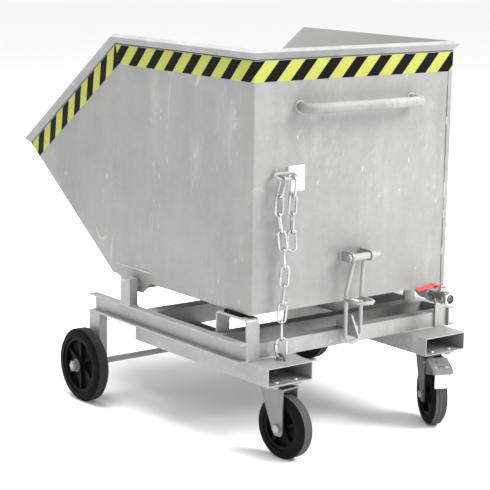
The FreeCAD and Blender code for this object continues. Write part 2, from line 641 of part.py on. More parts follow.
def make_drain():
    """A pipe elbow under the floor and a ball valve with a lever that lies across it when closed."""
    x, y, z = size("drain_x"), -size("drain_y"), size("bin_bottom") - size("drain_drop")
    route = [V(x, y, size("bin_bottom")), V(x, y, z), V(-size("valve_start"), y, z)]
    outside = bent_bar(route, size("drain_pipe_dia"), size("drain_bend"))
    ring = hexagon(36, 6, V(-size("valve_start"), y, z), X_AXIS)
    hollow = bent_bar(route, size("drain_bore"), size("drain_bend"))
    keep(feature(outside.fuse(ring).cut(hollow)), "drain_pipe")

    start, end, middle = -size("valve_start"), -size("valve_end"), -size("valve_mid")
    across = size("valve_flats")
    barrel = Part.makeCylinder(size("valve_barrel_dia") / 2, 34, V(middle - 17, y, z), X_AXIS)
    inlet = Part.makeCylinder(size("valve_barrel_dia") / 2 - 1, start - middle - 17, V(middle + 17, y, z), X_AXIS)
    ring = Part.makeCylinder(size("grip_ring_dia") / 2, size("grip_ring_length"), V(middle + 6, y, z), X_AXIS)
    outlet = hexagon(across, 10, V(end, y, z), X_AXIS)
    neck = Part.makeCylinder(across / 2 - 2, middle - 17 - end, V(end, y, z), X_AXIS)
    boss = Part.makeCylinder(size("boss_dia") / 2, 25.7, V(middle, y, z), Z_AXIS)
    body = barrel.fuse([inlet, ring, outlet, neck, boss]).removeSplitter()
    body = drilled(body, size("drain_bore") / 2, 500, V(end - 100, y, z), X_AXIS)
    body = drilled(body, size("outlet_bore") / 2, size("outlet_depth"), V(end, y, z), X_AXIS)
    body = body.cut(Part.makeSphere(size("ball_dia") / 2 + gap, V(middle, y, z)))
    body = drilled(body, size("stem_dia") / 2 + size("running_gap"), 100, V(middle, y, z), Z_AXIS)
    keep(feature(body), "valve_body")

    ball = Part.makeSphere(size("ball_dia") / 2, V(middle, y, z))
    stem = ball.fuse(Part.makeCylinder(size("stem_dia") / 2, 34, V(middle, y, z), Z_AXIS))
    stem = drilled(stem, size("ball_bore") / 2, 100, V(middle, y - 50, z), Y_AXIS)
    nut = hexagon(13, 5, V(middle, y, z + 29.2), Z_AXIS)
    keep(feature(stem.fuse(nut)), "valve_stem")

    tip = "lever_length"
    lever = plate("YZ_Plane", [("-9", "0"), ("9", "0"), ("28", "10"), (tip, "1"), (tip, "5"), ("29", "14.5"),
                               ("8", "3"), ("-9", "3")], "lever_width")
    pierce(lever, "XY_Plane", [("0", "0")], "stem_dia / 2 + running_gap", "40")
    keep(lever, "valve_lever", "-valve_mid", "-drain_y", "bin_bottom - drain_drop + 26")


def caster_place(obj, side, sign, along, z):
    """Turn a caster piece to the caster's heading, at a distance behind its swivel axis."""
    heading = side + "_heading"
    obj.Placement = FreeCAD.Placement(V(), FreeCAD.Rotation(Z_AXIS, size(heading)))
    obj.setExpression("Placement.Rotation.Angle", cells(heading))
    locate(obj, "caster_x + %s * cos(%s) - back_offset" % (along, heading),
           "%spocket_mid + %s * sin(%s)" % (sign, along, heading), z)


def tread(width, bore, outside):
    """The outline of a tyre with rounded shoulders and two grooves, as (distance along Y, radius)."""
    half = "%s / 2" % width
    low = "%s / 2 - 1.5" % outside
    top = "%s / 2" % outside
    right = [(half, bore), (half, top + " - 8"), (half + " - 7", top), ("6.2", top), ("5.7", low), ("4.3", low),
             ("3.8", top)]
    return right + [("-(%s)" % u, v) for u, v in reversed(right)]


def spoked_rim(hub_width, hub_radius, bore, width, outside, spokes):
    """A wheel centre: hub, thin web, outer ring and spokes on both faces."""
    hub, ring = "%s / 2" % hub_width, "%s / 2 - 3" % width
    well, edge = "%s - 10" % outside, outside
    right = [(hub, bore), (hub, hub_radius), ("4", hub_radius), ("4", well), (ring, well), (ring, edge)]
    body = turned(right + [("-(%s)" % u, v) for u, v in reversed(right)])
    sketch = new_sketch(body, "XZ_Plane")
    polygon(sketch, rectangle("-4", "4", hub_radius + " - 2", well + " + 2"))
    spoke = extrude(body, "Pad", sketch, "%s - 14" % width, True)
    doc.recompute()
    star = body.newObject("PartDesign::PolarPattern", "Star")
    star.Originals = [spoke]
    star.Axis = (sketch, ["N_Axis"])
    star.Angle = 360
    star.Occurrences = spokes
    body.Tip = star
    return body


def make_front_wheels():
    """Fixed front wheels that turn on the axle."""
    for side, sign, way in SIDES:
        rim = spoked_rim("front_hub_width", "front_hub_dia / 2", "axle_dia / 2 + running_gap", "front_wheel_width",
                         "front_rim_dia / 2", 6)
        tyre = turned(tread("front_wheel_width", "front_rim_dia / 2 + running_gap", "front_wheel_dia"))
        for body, name in ((rim, "front_rim_"), (tyre, "front_tyre_")):
            keep(body, name + side, "axle_x", sign + "front_wheel_y", "front_wheel_dia / 2")


def make_casters():
    """Swivelling casters under the fork pockets, the right one with a brake pedal."""
    top = "(caster_height - plate_thick - swivel_height)"
    axle_z = "caster_wheel_dia / 2"
    bolt_x, bolt_y = size("bolt_pitch_long") / 2, size("bolt_pitch_wide") / 2
    under = size("caster_height") - size("plate_thick")
    bolts = []
    for side, sign, way in SIDES:
        plan = rectangle("-plate_length / 2", "plate_length / 2", "-plate_width / 2", "plate_width / 2")
        base = plate("XY_Plane", plan, "plate_thick", False)
        pierce(base, "XY_Plane", [("0", "0")], "caster_axle_dia / 2 + running_gap", "4 * plate_thick")
        holes = [("%sbolt_pitch_long / 2" % u, "%sbolt_pitch_wide / 2" % v) for u in ("", "-") for v in ("", "-")]
        pierce(base, "XY_Plane", holes, "bolt_dia / 2 + side_gap", "4 * plate_thick")
        keep(base, "caster_plate_" + side, "caster_x", sign + "pocket_mid", "caster_height - plate_thick")

        fork = new_body()
        sketch = new_sketch(fork, "XZ_Plane")
        foot, toe = axle_z + " - 0.6 * fork_below", axle_z + " - fork_below"
        polygon(sketch, [("-fork_front", top), ("caster_trail + fork_half", top),
                         ("caster_trail + fork_half", foot), ("caster_trail + 0.6 * fork_half", toe),
                         ("caster_trail - 0.6 * fork_half", toe), ("caster_trail - fork_half", foot)])
        extrude(fork, "Pad", sketch, "fork_inner + 2 * fork_sheet", True)
        sketch = new_sketch(fork, "XZ_Plane")
        polygon(sketch, rectangle("-2 * fork_front", "caster_trail + 2 * fork_half", "0", top + " - fork_sheet"))
        extrude(fork, "Pocket", sketch, "fork_inner", True)
        pierce(fork, "XZ_Plane", [("caster_trail", axle_z)], "caster_axle_dia / 2 + running_gap", "4 * fork_inner")
        if side == "right":
            pierce(fork, "XZ_Plane", [("caster_trail + 14", top + " - 10")], "pedal_pin_dia / 2 + running_gap",
                   "4 * fork_inner")
        sketch = new_sketch(fork, "XY_Plane")
        circles(sketch, [("0", "0")], "swivel_dia / 2")
        sketch.setExpression("AttachmentOffset.Base.z", cells(top))
        extrude(fork, "Pad", sketch, "swivel_height - side_gap")
        sketch = new_sketch(fork, "XY_Plane")
        circles(sketch, [("0", "0")], "caster_axle_dia / 2")
        sketch.setExpression("AttachmentOffset.Base.z", cells(top))
        extrude(fork, "Pad", sketch, "swivel_height + plate_thick - side_gap")
        keep(fork, "caster_fork_" + side)
        caster_place(fork, side, sign, "0", "0")

        outer = size("fork_inner") / 2 + size("fork_sheet")
        nut = size("caster_nut_height")
        stud = outer + 1.15 * nut
        shank = Part.makeCylinder(size("caster_axle_dia") / 2, 2 * stud, V(0, -stud, 0), Y_AXIS)
        heads = [hexagon(size("caster_nut_flats"), nut, V(0, end * (outer + gap), 0), Y_AXIS * end)
                 for end in (1, -1)]
        pins = [shank.fuse(heads)]
        if side == "right":
            pin = V(14, -outer - 2, size("caster_height") - size("plate_thick") - size("swivel_height") - 10
                    - size("caster_wheel_dia") / 2)
            pins.append(Part.makeCylinder(size("pedal_pin_dia") / 2, 2 * outer + 4, pin, Y_AXIS))
        axle = feature(Part.makeCompound(pins))
        rim = spoked_rim("caster_hub_width", "caster_hub_dia / 2", "caster_axle_dia / 2 + running_gap",
                         "caster_wheel_width", "caster_rim_dia / 2", 5)
        tyre = turned(tread("caster_wheel_width", "caster_rim_dia / 2 + running_gap", "caster_wheel_dia"))
        for obj, name in ((axle, "caster_axle_"), (rim, "caster_rim_"), (tyre, "caster_tyre_")):
            keep(obj, name + side)
            caster_place(obj, side, sign, "caster_trail", axle_z)

        wall = size("pocket_wall")
        for u in (bolt_x, -bolt_x):
            for v in (bolt_y, -bolt_y):
                spot = V(size("caster_x") + u, way * size("pocket_mid") + v, under)
                nut = hexagon(size("bolt_flats"), size("bolt_nut"), spot, -Z_AXIS)
                below, grip = size("bolt_nut") + size("bolt_end"), size("plate_thick") + wall
                shank = Part.makeCylinder(size("bolt_dia") / 2, below + grip, spot - Z_AXIS * below, Z_AXIS)
                wide = size("bolt_head_dia") / 2
                head = Part.makeCone(wide, 0.7 * wide, size("bolt_head"), spot + Z_AXIS * grip)
                bolts.append(head.fuse([shank, nut]))
    keep(feature(Part.makeCompound(bolts)), "caster_bolts")

    tip = "(pedal_reach - caster_trail)"
    roof = top + " - " + axle_z
    pedal = plate("XZ_Plane", [("9", roof + " - 16"), ("9", roof + " - 6"), ("22", roof + " - 6"),
                               ("34", roof + " + 6"), (tip, roof + " - 13"), (tip, roof + " - pedal_lip"),
                               (tip + " - 3", roof + " - pedal_lip"), (tip + " - 3", roof + " - pedal_drop"),
                               (tip + " - 6", roof + " - pedal_drop"), (tip + " - 6", roof + " - 16"),
                               ("36", roof + " + 1"), ("32", roof + " - 15")], "pedal_width")
    wings = new_sketch(pedal, "XZ_Plane")
    edge = tip + " - pedal_corner"
    polygon(wings, [("24", roof + " - 4"), ("34", roof + " + 6"), (edge, roof + " - 13"),
                    (edge, roof + " - pedal_lip"), (tip + " - 6", roof + " - pedal_lip"),
                    (tip + " - 6", roof + " - 16"), ("36", roof + " + 1"),
                    ("29", roof + " - 4")])
    extrude(pedal, "Pad", wings, "pedal_roof_width", True)
    notches = new_sketch(pedal, "YZ_Plane")
    inner, outer = "(pedal_width / 2 - pedal_notch)", "pedal_width"
    for sign in ("", "-"):
        polygon(notches, rectangle(sign + inner, sign + outer, roof + " - 2 * pedal_drop", roof + " - pedal_lip"))
    extrude(pedal, "Pocket", notches, "4 * pedal_reach", True)
    pierce(pedal, "XZ_Plane", [("14", roof + " - 10")], "pedal_pin_dia / 2 + running_gap", "2 * pedal_width")
    keep(pedal, "brake_pedal")
    caster_place(pedal, "right", "-", "caster_trail", axle_z)


make_frame()
make_axle_fasteners()
make_bin()
make_rim()
make_handle()
make_hinge()
make_latch()
make_chain()
make_drain()
make_front_wheels()
make_casters()
doc.recompute()

for obj in doc.Objects:
    if {"Invalid", "Error"} & set(obj.State):
        raise RuntimeError("%s could not be built: %s" % (obj.Label, obj.State))
for obj in nodes:
    if obj.Shape.isNull() or not obj.Shape.isValid() or not obj.Shape.Solids:
        raise RuntimeError("%s has no valid shape" % obj.Label)
os.makedirs("parts", exist_ok=True)
for obj in nodes:
    obj.Shape.exportStep("parts/%s.step" % obj.Label)
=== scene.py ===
"""Looks of the tipping skip trolley: galvanised bin and frame, tape, chain, latch, drain valve and wheels."""
import json
import math

import bmesh
import bpy
from bpy.props import FloatProperty, FloatVectorProperty, IntProperty, PointerProperty
from mathutils import Matrix, Vector


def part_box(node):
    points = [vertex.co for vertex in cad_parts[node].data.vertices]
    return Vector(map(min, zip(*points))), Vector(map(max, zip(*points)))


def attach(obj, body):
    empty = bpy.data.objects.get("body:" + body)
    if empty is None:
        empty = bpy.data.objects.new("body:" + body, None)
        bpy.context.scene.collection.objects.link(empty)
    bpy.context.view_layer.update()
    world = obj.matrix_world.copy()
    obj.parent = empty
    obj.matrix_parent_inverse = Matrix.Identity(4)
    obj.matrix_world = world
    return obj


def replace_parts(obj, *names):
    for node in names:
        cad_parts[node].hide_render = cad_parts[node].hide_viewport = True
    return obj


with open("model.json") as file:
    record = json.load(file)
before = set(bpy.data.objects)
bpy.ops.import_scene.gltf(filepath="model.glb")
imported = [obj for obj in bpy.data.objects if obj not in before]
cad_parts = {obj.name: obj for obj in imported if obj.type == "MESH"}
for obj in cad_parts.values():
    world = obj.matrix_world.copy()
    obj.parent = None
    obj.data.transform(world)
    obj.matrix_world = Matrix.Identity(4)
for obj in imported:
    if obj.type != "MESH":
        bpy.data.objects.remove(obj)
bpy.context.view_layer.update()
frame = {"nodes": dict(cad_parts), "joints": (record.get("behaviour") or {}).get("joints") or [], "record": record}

bl_info = {
    "name": "Tipping Skip Trolley Looks",
    "version": (1, 0, 0),
    "blender": (4, 5, 0),
    "location": "View3D > Sidebar > Skip",
    "description": "Dresses the packed tipping skip trolley with its finishes, tape, welds and chain",
    "category": "Object",
}

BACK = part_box("bin_back")[0].x
BIN_LOW, BIN_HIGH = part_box("bin_side_left")
BIN_LEFT, BIN_TOP = BIN_HIGH.y, BIN_HIGH.z
MM = 0.001
UP, REARWARD = Vector((0, 0, 1)), Vector((-1, 0, 0))

# Edges that turn by more than the first are rounded or stay sharp, and by less than the second are dissolved
SHARP, FLAT = math.radians(38), math.radians(0.4)
# Cosines past which an edge runs along an axis, and a face looks down or inwards
PARALLEL, DOWNWARD, INWARD = 0.99, -0.3, 0.5
# In metres: points that count as one, what a film stands off the sheet, and the depth of a tyre's tread
SAME_POINT, FILM_GAP, TREAD_DEPTH = 2e-6, 5e-5, 0.0035
# Rounding of some pieces as a share of the usual one, and wear of the treads from 0 to 1
FINE_EDGE, MOULD_EDGE, PAD_EDGE, LEVER_EDGE = 0.6, 0.5, 2, 1.8
CASTER_WEAR, FRONT_WEAR = 1.0, 0.4
# Steps of a large rounding
ROUND_STEPS = 4


def at(x, y, z):
    """A point in millimetres: along from the bin's back wall, sideways from the middle, up from the floor."""
    return Vector((BACK + x * MM, y * MM, z * MM))


# Places on the bin and the frame, in the same millimetres

# Bends of the bin's side: the height of its lip, and where the chute starts along
LIP_UP, CHUTE_FOOT = 675, 614
# Lapped corner: ends up of the lapped sheet, of the open seams beside it and of the short welds between them
LAP_ENDS = (358, 921)
OPEN_SEAMS = ((800, 885), (628, 788), (452, 540), (362, 440))
LAP_WELDS = ((786, 802), (592, 630), (538, 556), (438, 454))
# Blank label: its lower and upper corner, sideways and up
LABEL_LOW, LABEL_HIGH = (165, 652), (213, 715)
# Weld on each side of the bin above the pivot: its ends along, and its height
SIDE_WELD_ENDS, SIDE_WELD_UP = (434, 589), 383.5
# Weld round an end of the push handle: its centre, sideways and up, its radius, and the steps round it
HANDLE_END, HANDLE_WELD, RING_STEPS = (183, 858), 13.2, 24
# Upright welds on the back wall at the latch lugs and the chain staple: sideways, and both ends up
BACK_WELDS = ((42, 462, 486), (-29, 462, 486), (218, 700, 712), (256, 700, 712))
# Distance of the fork pockets' welds from the pockets' sides
POCKET_WELD_INSET = 2
# Top of the brake pedal's white lip
WHITE_LIP_TOP = 154.5

# Drain valve in metres: radius of its pipe, and where the knurled ring starts and how high it reaches
PIPE_RADIUS, KNURL_RADIUS, KNURL_HEIGHT = 0.0135, 0.0190, 0.021

# Brake pedal in millimetres from its pin: ahead and up for its sides, ahead and sideways on its top
CHEEK = ((8, 3), (21, 15.2), (73.5, -2.9), (73.5, -14.5), (11, -30))
CHEEK_SIDE, CHEEK_THICK = 24.2, 0.0026
CREST_AHEAD, CREST_UP, TOP_FALL = 20, 16.1, 19 / 56
# The hole and slot are dark plates of painted shade, and the bumps are bright plates of painted highlight
HOLE_CENTRE, HOLE_RADII, HOLE_STEPS = (40, -8), (3.6, 4.2), 12
PEDAL_SLOT = ((59, -11), (59, 8), (62.5, 8), (62.5, -11))
BUMP_ENDS, BUMP_STARTS, BUMP_WIDTH = (61, 66), (-22, 9), 9
HOLE_THICK, BUMP_THICK = 0.0003, 0.0010

# Studio in metres: each light's place, power setting and diameter, what they face, and half the floor's side;
# then the darker patches of its paper as a share of its colour
LIGHTS = (("key_light", (-3.2, -2.4, 3.6), "key_power", 2.6),
          ("fill_light", (-1.0, 4.2, 2.2), "fill_power", 3.0),
          ("top_light", (0.6, 0.2, 4.5), "top_power", 3.5))
LIGHT_AIM, FLOOR_HALF, PAPER_SHADE = Vector((0, 0, 0.5)), 30, 0.985
# Camera: its sensor in millimetres, and how far it sees in metres
SENSOR_WIDTH, VIEW_DEPTH = 36.0, 100.0


# Settings

def length(label, words, default):
    """A size in metres that the user can change."""
    return FloatProperty(name=label, description=words, default=default, min=0.0, precision=5,
                         subtype="DISTANCE", unit="LENGTH")


def tint(label, words, default):
    """A colour that the user can change."""
    return FloatVectorProperty(name=label, description=words, default=default, size=3, min=0.0, max=1.0,
                               subtype="COLOR")


class SkipColours(bpy.types.PropertyGroup):
    """Colours of the trolley's finishes."""
    sheet_dark: tint("Dull sheet", "Dull parts of the galvanised bin sheet", (0.182, 0.184, 0.1805))
    sheet_light: tint("Bright sheet", "Bright parts of the galvanised bin sheet", (0.300, 0.302, 0.298))
    steel_dark: tint("Dull frame", "Dull parts of the galvanised frame", (0.226, 0.228, 0.2245))
    steel_light: tint("Bright frame", "Bright parts of the galvanised frame", (0.390, 0.392, 0.388))
    tape_yellow: tint("Tape yellow", "Yellow of the hazard tape", (0.365, 0.378, 0.082))
    tape_black: tint("Tape black", "Black of the hazard tape", (0.004, 0.004, 0.0045))
    tape_scuffed: tint("Tape scuffs", "Scuffed black of the hazard tape", (0.02, 0.02, 0.021))
    # Bright zinc of the chain and screw link; on the pedal's bumps it is a painted highlight
    bright_zinc: tint("Bright zinc", "Chain, screw link and the pedal's bumps", (0.50, 0.505, 0.51))
    dull_zinc: tint("Dull zinc", "Left caster fork, plates, pedal, pivot and nuts", (0.19, 0.192, 0.192))
    worn_zinc: tint("Worn zinc", "Caster axles and bolts", (0.33, 0.333, 0.333))
    # Painted shade: a darker copy of the dull zinc, for the right caster's fork and the pedal's sides, which lie
    # in shade
    dark_zinc: tint("Dark zinc", "Right caster fork and the pedal's sides", (0.07, 0.071, 0.066))
    nickel: tint("Nickel", "Drain valve", (0.60, 0.59, 0.57))
    knurl: tint("Knurl", "Knurled ring of the drain valve", (0.20, 0.20, 0.20))
    weld: tint("Weld", "Weld beads", (0.42, 0.42, 0.42))
    lever: tint("Lever", "Red sleeve of the drain valve's lever", (0.60, 0.04, 0.04))
    rubber: tint("Rubber", "Tyres and rest pads", (0.004, 0.004, 0.0042))
    worn_rubber: tint("Worn rubber", "Worn treads of the tyres", (0.085, 0.085, 0.086))
    plastic: tint("Rims", "Moulded wheel rims", (0.004, 0.004, 0.0042))
    white: tint("White plastic", "Lip of the brake pedal", (0.86, 0.86, 0.85))
    label: tint("Label", "Blank label on the back wall", (0.90, 0.90, 0.88))
    # Painted shade: dark film in the gap under the rim, in the open seams at the lapped corner and in the pedal's
    # hole and slot
    seam: tint("Seam", "Shadowed seams between lapped sheets", (0.045, 0.045, 0.045))


class SkipSizes(bpy.types.PropertyGroup):
    """Sizes of what the looks add to the part."""
    edge_round: length("Edge round", "Rounding of cut steel edges", 0.0008)
    sheet_round: length("Sheet round", "Rounding of cut sheet edges", 0.0006)
    tape_width: length("Tape width", "Width of the hazard tape", 0.050)
    tape_drop: length("Tape drop", "Bin edge to the tape's upper edge", 0.028)
    tape_thick: length("Tape thickness", "Thickness of the hazard tape", 0.0003)
    stripe_pitch: length("Stripe pitch", "Stripe to stripe along the tape", 0.081)
    stripe_black: length("Black stripe", "Width of a black stripe along the tape", 0.039)
    stripe_start: length("Stripe start", "Rear left corner to the first black stripe", 0.029)
    slope_start: length("Slope start", "Shift of the stripes on the sloped edges", 0.0295)
    stripe_lean: FloatProperty(name="Stripe lean", description="Sideways run of a stripe per unit of height",
                               default=0.92)
    weld_width: length("Weld width", "Width of a weld bead", 0.0055)
    weld_pitch: length("Weld pitch", "Ripple to ripple along a weld", 0.0024)
    weld_seed: IntProperty(name="Weld seed", description="Seed of the beads' unevenness", default=7)
    link_wire: length("Link wire", "Wire of the chain's links", 0.006)
    tube_round: length("Tube round", "Outer corner radius of the fork pockets' tube", 0.0028)
    lap_width: length("Lap width", "Width of the lapped sheet at the rear right corner", 0.015)
    lap_thick: length("Lap thickness", "How far the lapped sheet stands proud", 0.0012)
    lap_inset: length("Lap inset", "Bin corner to the lapped sheet", 0.0025)
    lap_gap: length("Lap gap", "Gap behind the lapped sheet", 0.00002)
    lap_seam: length("Lap seam", "Width of the seam beside the lapped sheet", 0.0018)
    # The seam under the rim is a strip of painted shade
    seam_drop: length("Seam drop", "Bin edge to the seam under its rim", 0.0238)
    seam_width: length("Seam width", "Width of the seam under the rim", 0.0026)
    seam_thick: length("Seam thickness", "Thickness of the shadowed seams", 0.0001)
    label_round: length("Label round", "Corner radius of the blank label", 0.0015)
    label_thick: length("Label thickness", "Thickness of the blank label", 0.0003)


class SkipStage(bpy.types.PropertyGroup):
    """Camera, light and floor of the picture."""
    camera: FloatVectorProperty(name="Camera", description="Place of the camera", subtype="TRANSLATION",
                                unit="LENGTH", default=(-3.5334, 2.6982, 1.2974))
    target: FloatVectorProperty(name="Target", description="Point that the camera looks at",
                                subtype="TRANSLATION", unit="LENGTH", default=(-0.0134, 0.0010, 0.4226))
    roll: FloatProperty(name="Roll", description="Turn of the camera about its view", subtype="ANGLE",
                        default=math.radians(0.82))
    lens: FloatProperty(name="Lens", description="Focal length in millimetres", default=120.8)
    key_power: FloatProperty(name="Key", description="Power of the key light in watts", default=300.0)
    fill_power: FloatProperty(name="Fill", description="Power of the fill light in watts", default=4.0)
    top_power: FloatProperty(name="Top", description="Power of the top light in watts", default=330.0)
    sky: FloatProperty(name="Sky", description="Strength of the even light from all round", default=1.0)
    floor: tint("Floor", "Colour of the studio floor", (0.93, 0.93, 0.93))


# Materials

# Repeats per metre of the patterns in the finishes, along x, y and z where they are stretched
CLOUDS, CRYSTALS, GRAIN = 4.0, 85.0, 420.0
RUNS, WASH, FEATHERS = (26.0, 26.0, 2.2), (9.0, 9.0, 3.2), (95.0, 95.0, 24.0)
SPECKS, SCRATCHES = (62.0, 62.0, 30.0), (3.4, 3.4, 1.1)
PLATING_CLOUDS, PLATING_SCRATCHES = 28.0, (60.0, 700.0, 300.0)
MOULD_CLOUDS, MOULD_GRAIN, TAPE_WEAR, TAPE_RIPPLES, PAPER_CLOUDS = 16.0, 900.0, 35.0, 55.0, 2.0
# Lean of the feathery marks and scratches, in radians about each axis
LEAN = (-0.3, 0.35, 0.0)


def fill(tree, node, inputs):
    """Fill a node's inputs with values or links."""
    for name, value in inputs.items():
        if isinstance(value, bpy.types.NodeSocket):
            tree.links.new(value, node.inputs[name])
        else:
            node.inputs[name].default_value = value


def put(tree, kind, inputs=None, **settings):
    """Add a node to a tree, set its properties, fill its inputs and hand on its outputs."""
    made = tree.nodes.new(kind)
    for name, value in settings.items():
        setattr(made, name, value)
    fill(tree, made, inputs or {})
    return made.outputs


def sums(tree, operation, first, second=0.0, third=0.0):
    """A calculation on one to three values."""
    return put(tree, "ShaderNodeMath", {0: first, 1: second, 2: third}, operation=operation)[0]


def ramp(tree, value, low, high, to_low=0.0, to_high=1.0):
    """A value carried over from one range to another, and held at its ends."""
    carried = put(tree, "ShaderNodeMapRange", {
        "Value": value, "From Min": low, "From Max": high, "To Min": to_low, "To Max": to_high})
    return carried["Result"]


def blend(tree, amount, first, second):
    """A colour between two colours."""
    first, second = (value if isinstance(value, bpy.types.NodeSocket) else (*value, 1.0)
                     for value in (first, second))
    return put(tree, "ShaderNodeMix", {0: amount, 6: first, 7: second}, data_type="RGBA")[2]


def noise(tree, source, scale, detail=3.0, rough=0.5):
    """A cloudy pattern between 0 and 1, stretched where it has a scale for each axis."""
    if isinstance(scale, tuple):
        source = put(tree, "ShaderNodeMapping", {"Vector": source, "Scale": scale})["Vector"]
        scale = 1.0
    return put(tree, "ShaderNodeTexNoise", {
        "Vector": source, "Scale": scale, "Detail": detail, "Roughness": rough})["Fac"]


def new_finish(name):
    """An empty node material, its tree, its shader and the object's coordinates."""
    finish = bpy.data.materials.new(name)
    finish.use_nodes = True
    tree = finish.node_tree
    shader = tree.nodes["Principled BSDF"]
    where = put(tree, "ShaderNodeTexCoord")["Object"]
    return finish, tree, shader, where


def relief(tree, height, strength, distance):
    """A surface with a fine relief."""
    return put(tree, "ShaderNodeBump", {
        "Height": height, "Strength": strength, "Distance": distance})["Normal"]


def galvanised(name, dark, light, metallic, spangle, streaks, gloss):
    """Hot-dipped zinc: crystals, runs and feathery marks down the sheet, specks, scratches and a dull gloss.

    Faces that look down get a painted shade, and faces that look into the bin get a painted light, as marked."""
    finish, tree, shader, where = new_finish(name)
    crystal = put(tree, "ShaderNodeTexVoronoi", {"Vector": where, "Scale": CRYSTALS})["Color"]
    crystal = put(tree, "ShaderNodeSeparateColor", {"Color": crystal})["Red"]
    cloud = noise(tree, where, CLOUDS, 5.0, 0.6)
    runs = noise(tree, where, RUNS, 4.0, 0.6)
    wash = noise(tree, where, WASH, 6.0, 0.68)
    leaning = put(tree, "ShaderNodeMapping", {"Vector": where, "Rotation": LEAN})["Vector"]
    feathers = noise(tree, leaning, FEATHERS, 2.0)
    specks = noise(tree, where, SPECKS, 1.0)
    lines = noise(tree, leaning, SCRATCHES, 1.0)
    lines = sums(tree, "ABSOLUTE", sums(tree, "SUBTRACT", lines, 0.5))

    tone = sums(tree, "MULTIPLY_ADD", cloud, 0.9, sums(tree, "MULTIPLY", runs, streaks))
    tone = sums(tree, "MULTIPLY_ADD", crystal, spangle, tone)
    colour = blend(tree, ramp(tree, tone, 0.35, 0.75 + streaks * 0.5 + spangle), dark, light)
    pale = [min(1.0, part * 1.3) for part in light]
    white = [min(1.0, part * 1.6) for part in light]
    haze = sums(tree, "MULTIPLY", ramp(tree, wash, 0.55, 0.85, 0.0, 0.8), ramp(tree, runs, 0.3, 0.6))
    colour = blend(tree, haze, colour, pale)
    plume = sums(tree, "MULTIPLY", ramp(tree, feathers, 0.57, 0.74, 0.0, streaks), ramp(tree, wash, 0.49, 0.66))
    colour = blend(tree, plume, colour, pale)
    scratch = sums(tree, "MULTIPLY", ramp(tree, lines, 0.001, 0.0035, streaks, 0.0),
                   ramp(tree, cloud, 0.57, 0.64))
    colour = blend(tree, scratch, colour, white)
    speck = sums(tree, "MULTIPLY", ramp(tree, specks, 0.72, 0.77),
                 ramp(tree, wash, 0.44, 0.57, 0.0, streaks * 1.3))
    colour = blend(tree, speck, colour, white)
    # Painted shade: faces marked as looking down are darkened towards a fifth of the dull colour
    below = put(tree, "ShaderNodeAttribute", attribute_name="underside")["Fac"]
    colour = blend(tree, sums(tree, "MULTIPLY", below, 0.9), colour, [part * 0.2 for part in dark])
    # Painted light: faces marked as looking into the bin are lightened towards white
    inner_painted_light = put(tree, "ShaderNodeAttribute", attribute_name="inside")["Fac"]
    colour = blend(tree, sums(tree, "MULTIPLY", inner_painted_light, 0.55), colour, white)
    rough = ramp(tree, sums(tree, "MULTIPLY_ADD", crystal, 0.3, runs), 0.3, 0.95, gloss, gloss + 0.22)
    grain = sums(tree, "MULTIPLY_ADD", noise(tree, where, GRAIN, 2.0), 0.35, sums(tree, "MULTIPLY", cloud, 0.8))
    grain = sums(tree, "ADD", grain, sums(tree, "MULTIPLY", crystal, 0.15))
    fill(tree, shader, {"Base Color": colour, "Metallic": metallic, "Roughness": rough,
                        "Normal": relief(tree, grain, 0.12, 0.002)})
    return finish


def plated(name, colour, rough, metallic=0.9):
    """Plated metal with fine scratches, a slightly cloudy gloss and grime in patches."""
    finish, tree, shader, where = new_finish(name)
    cloud = noise(tree, where, PLATING_CLOUDS, 4.0, 0.6)
    scratch = noise(tree, where, PLATING_SCRATCHES, 2.0)
    tone = blend(tree, ramp(tree, cloud, 0.3, 0.72), [part * 0.72 for part in colour], colour)
    marks = sums(tree, "MULTIPLY_ADD", scratch, 0.5, cloud)
    fill(tree, shader, {"Base Color": tone, "Metallic": metallic,
                        "Roughness": ramp(tree, marks, 0.4, 1.1, rough - 0.08, rough + 0.16),
                        "Normal": relief(tree, marks, 0.06, 0.0006)})
    return finish


def moulded(name, colour, rough, dust, grain, shine=0.3, worn=None):
    """Rubber or plastic with a fine mould grain and a little dust, in a worn colour where a tread is marked."""
    finish, tree, shader, where = new_finish(name)
    cloud = noise(tree, where, MOULD_CLOUDS, 5.0, 0.65)
    fine = noise(tree, where, MOULD_GRAIN, 2.0)
    grey = [part + dust for part in colour]
    tone = blend(tree, ramp(tree, cloud, 0.45, 0.8), colour, grey)
    if worn is not None:
        tread = put(tree, "ShaderNodeAttribute", attribute_name="tread")["Fac"]
        tone = blend(tree, sums(tree, "MULTIPLY", tread, ramp(tree, cloud, 0.25, 0.7, 0.6, 1.0)), tone, worn)
    surface = sums(tree, "MULTIPLY_ADD", fine, 0.6, cloud)
    fill(tree, shader, {"Base Color": tone, "Specular IOR Level": shine,
                        "Roughness": ramp(tree, cloud, 0.3, 0.75, rough - 0.1, rough + 0.12),
                        "Normal": relief(tree, surface, grain, 0.0008)})
    return finish


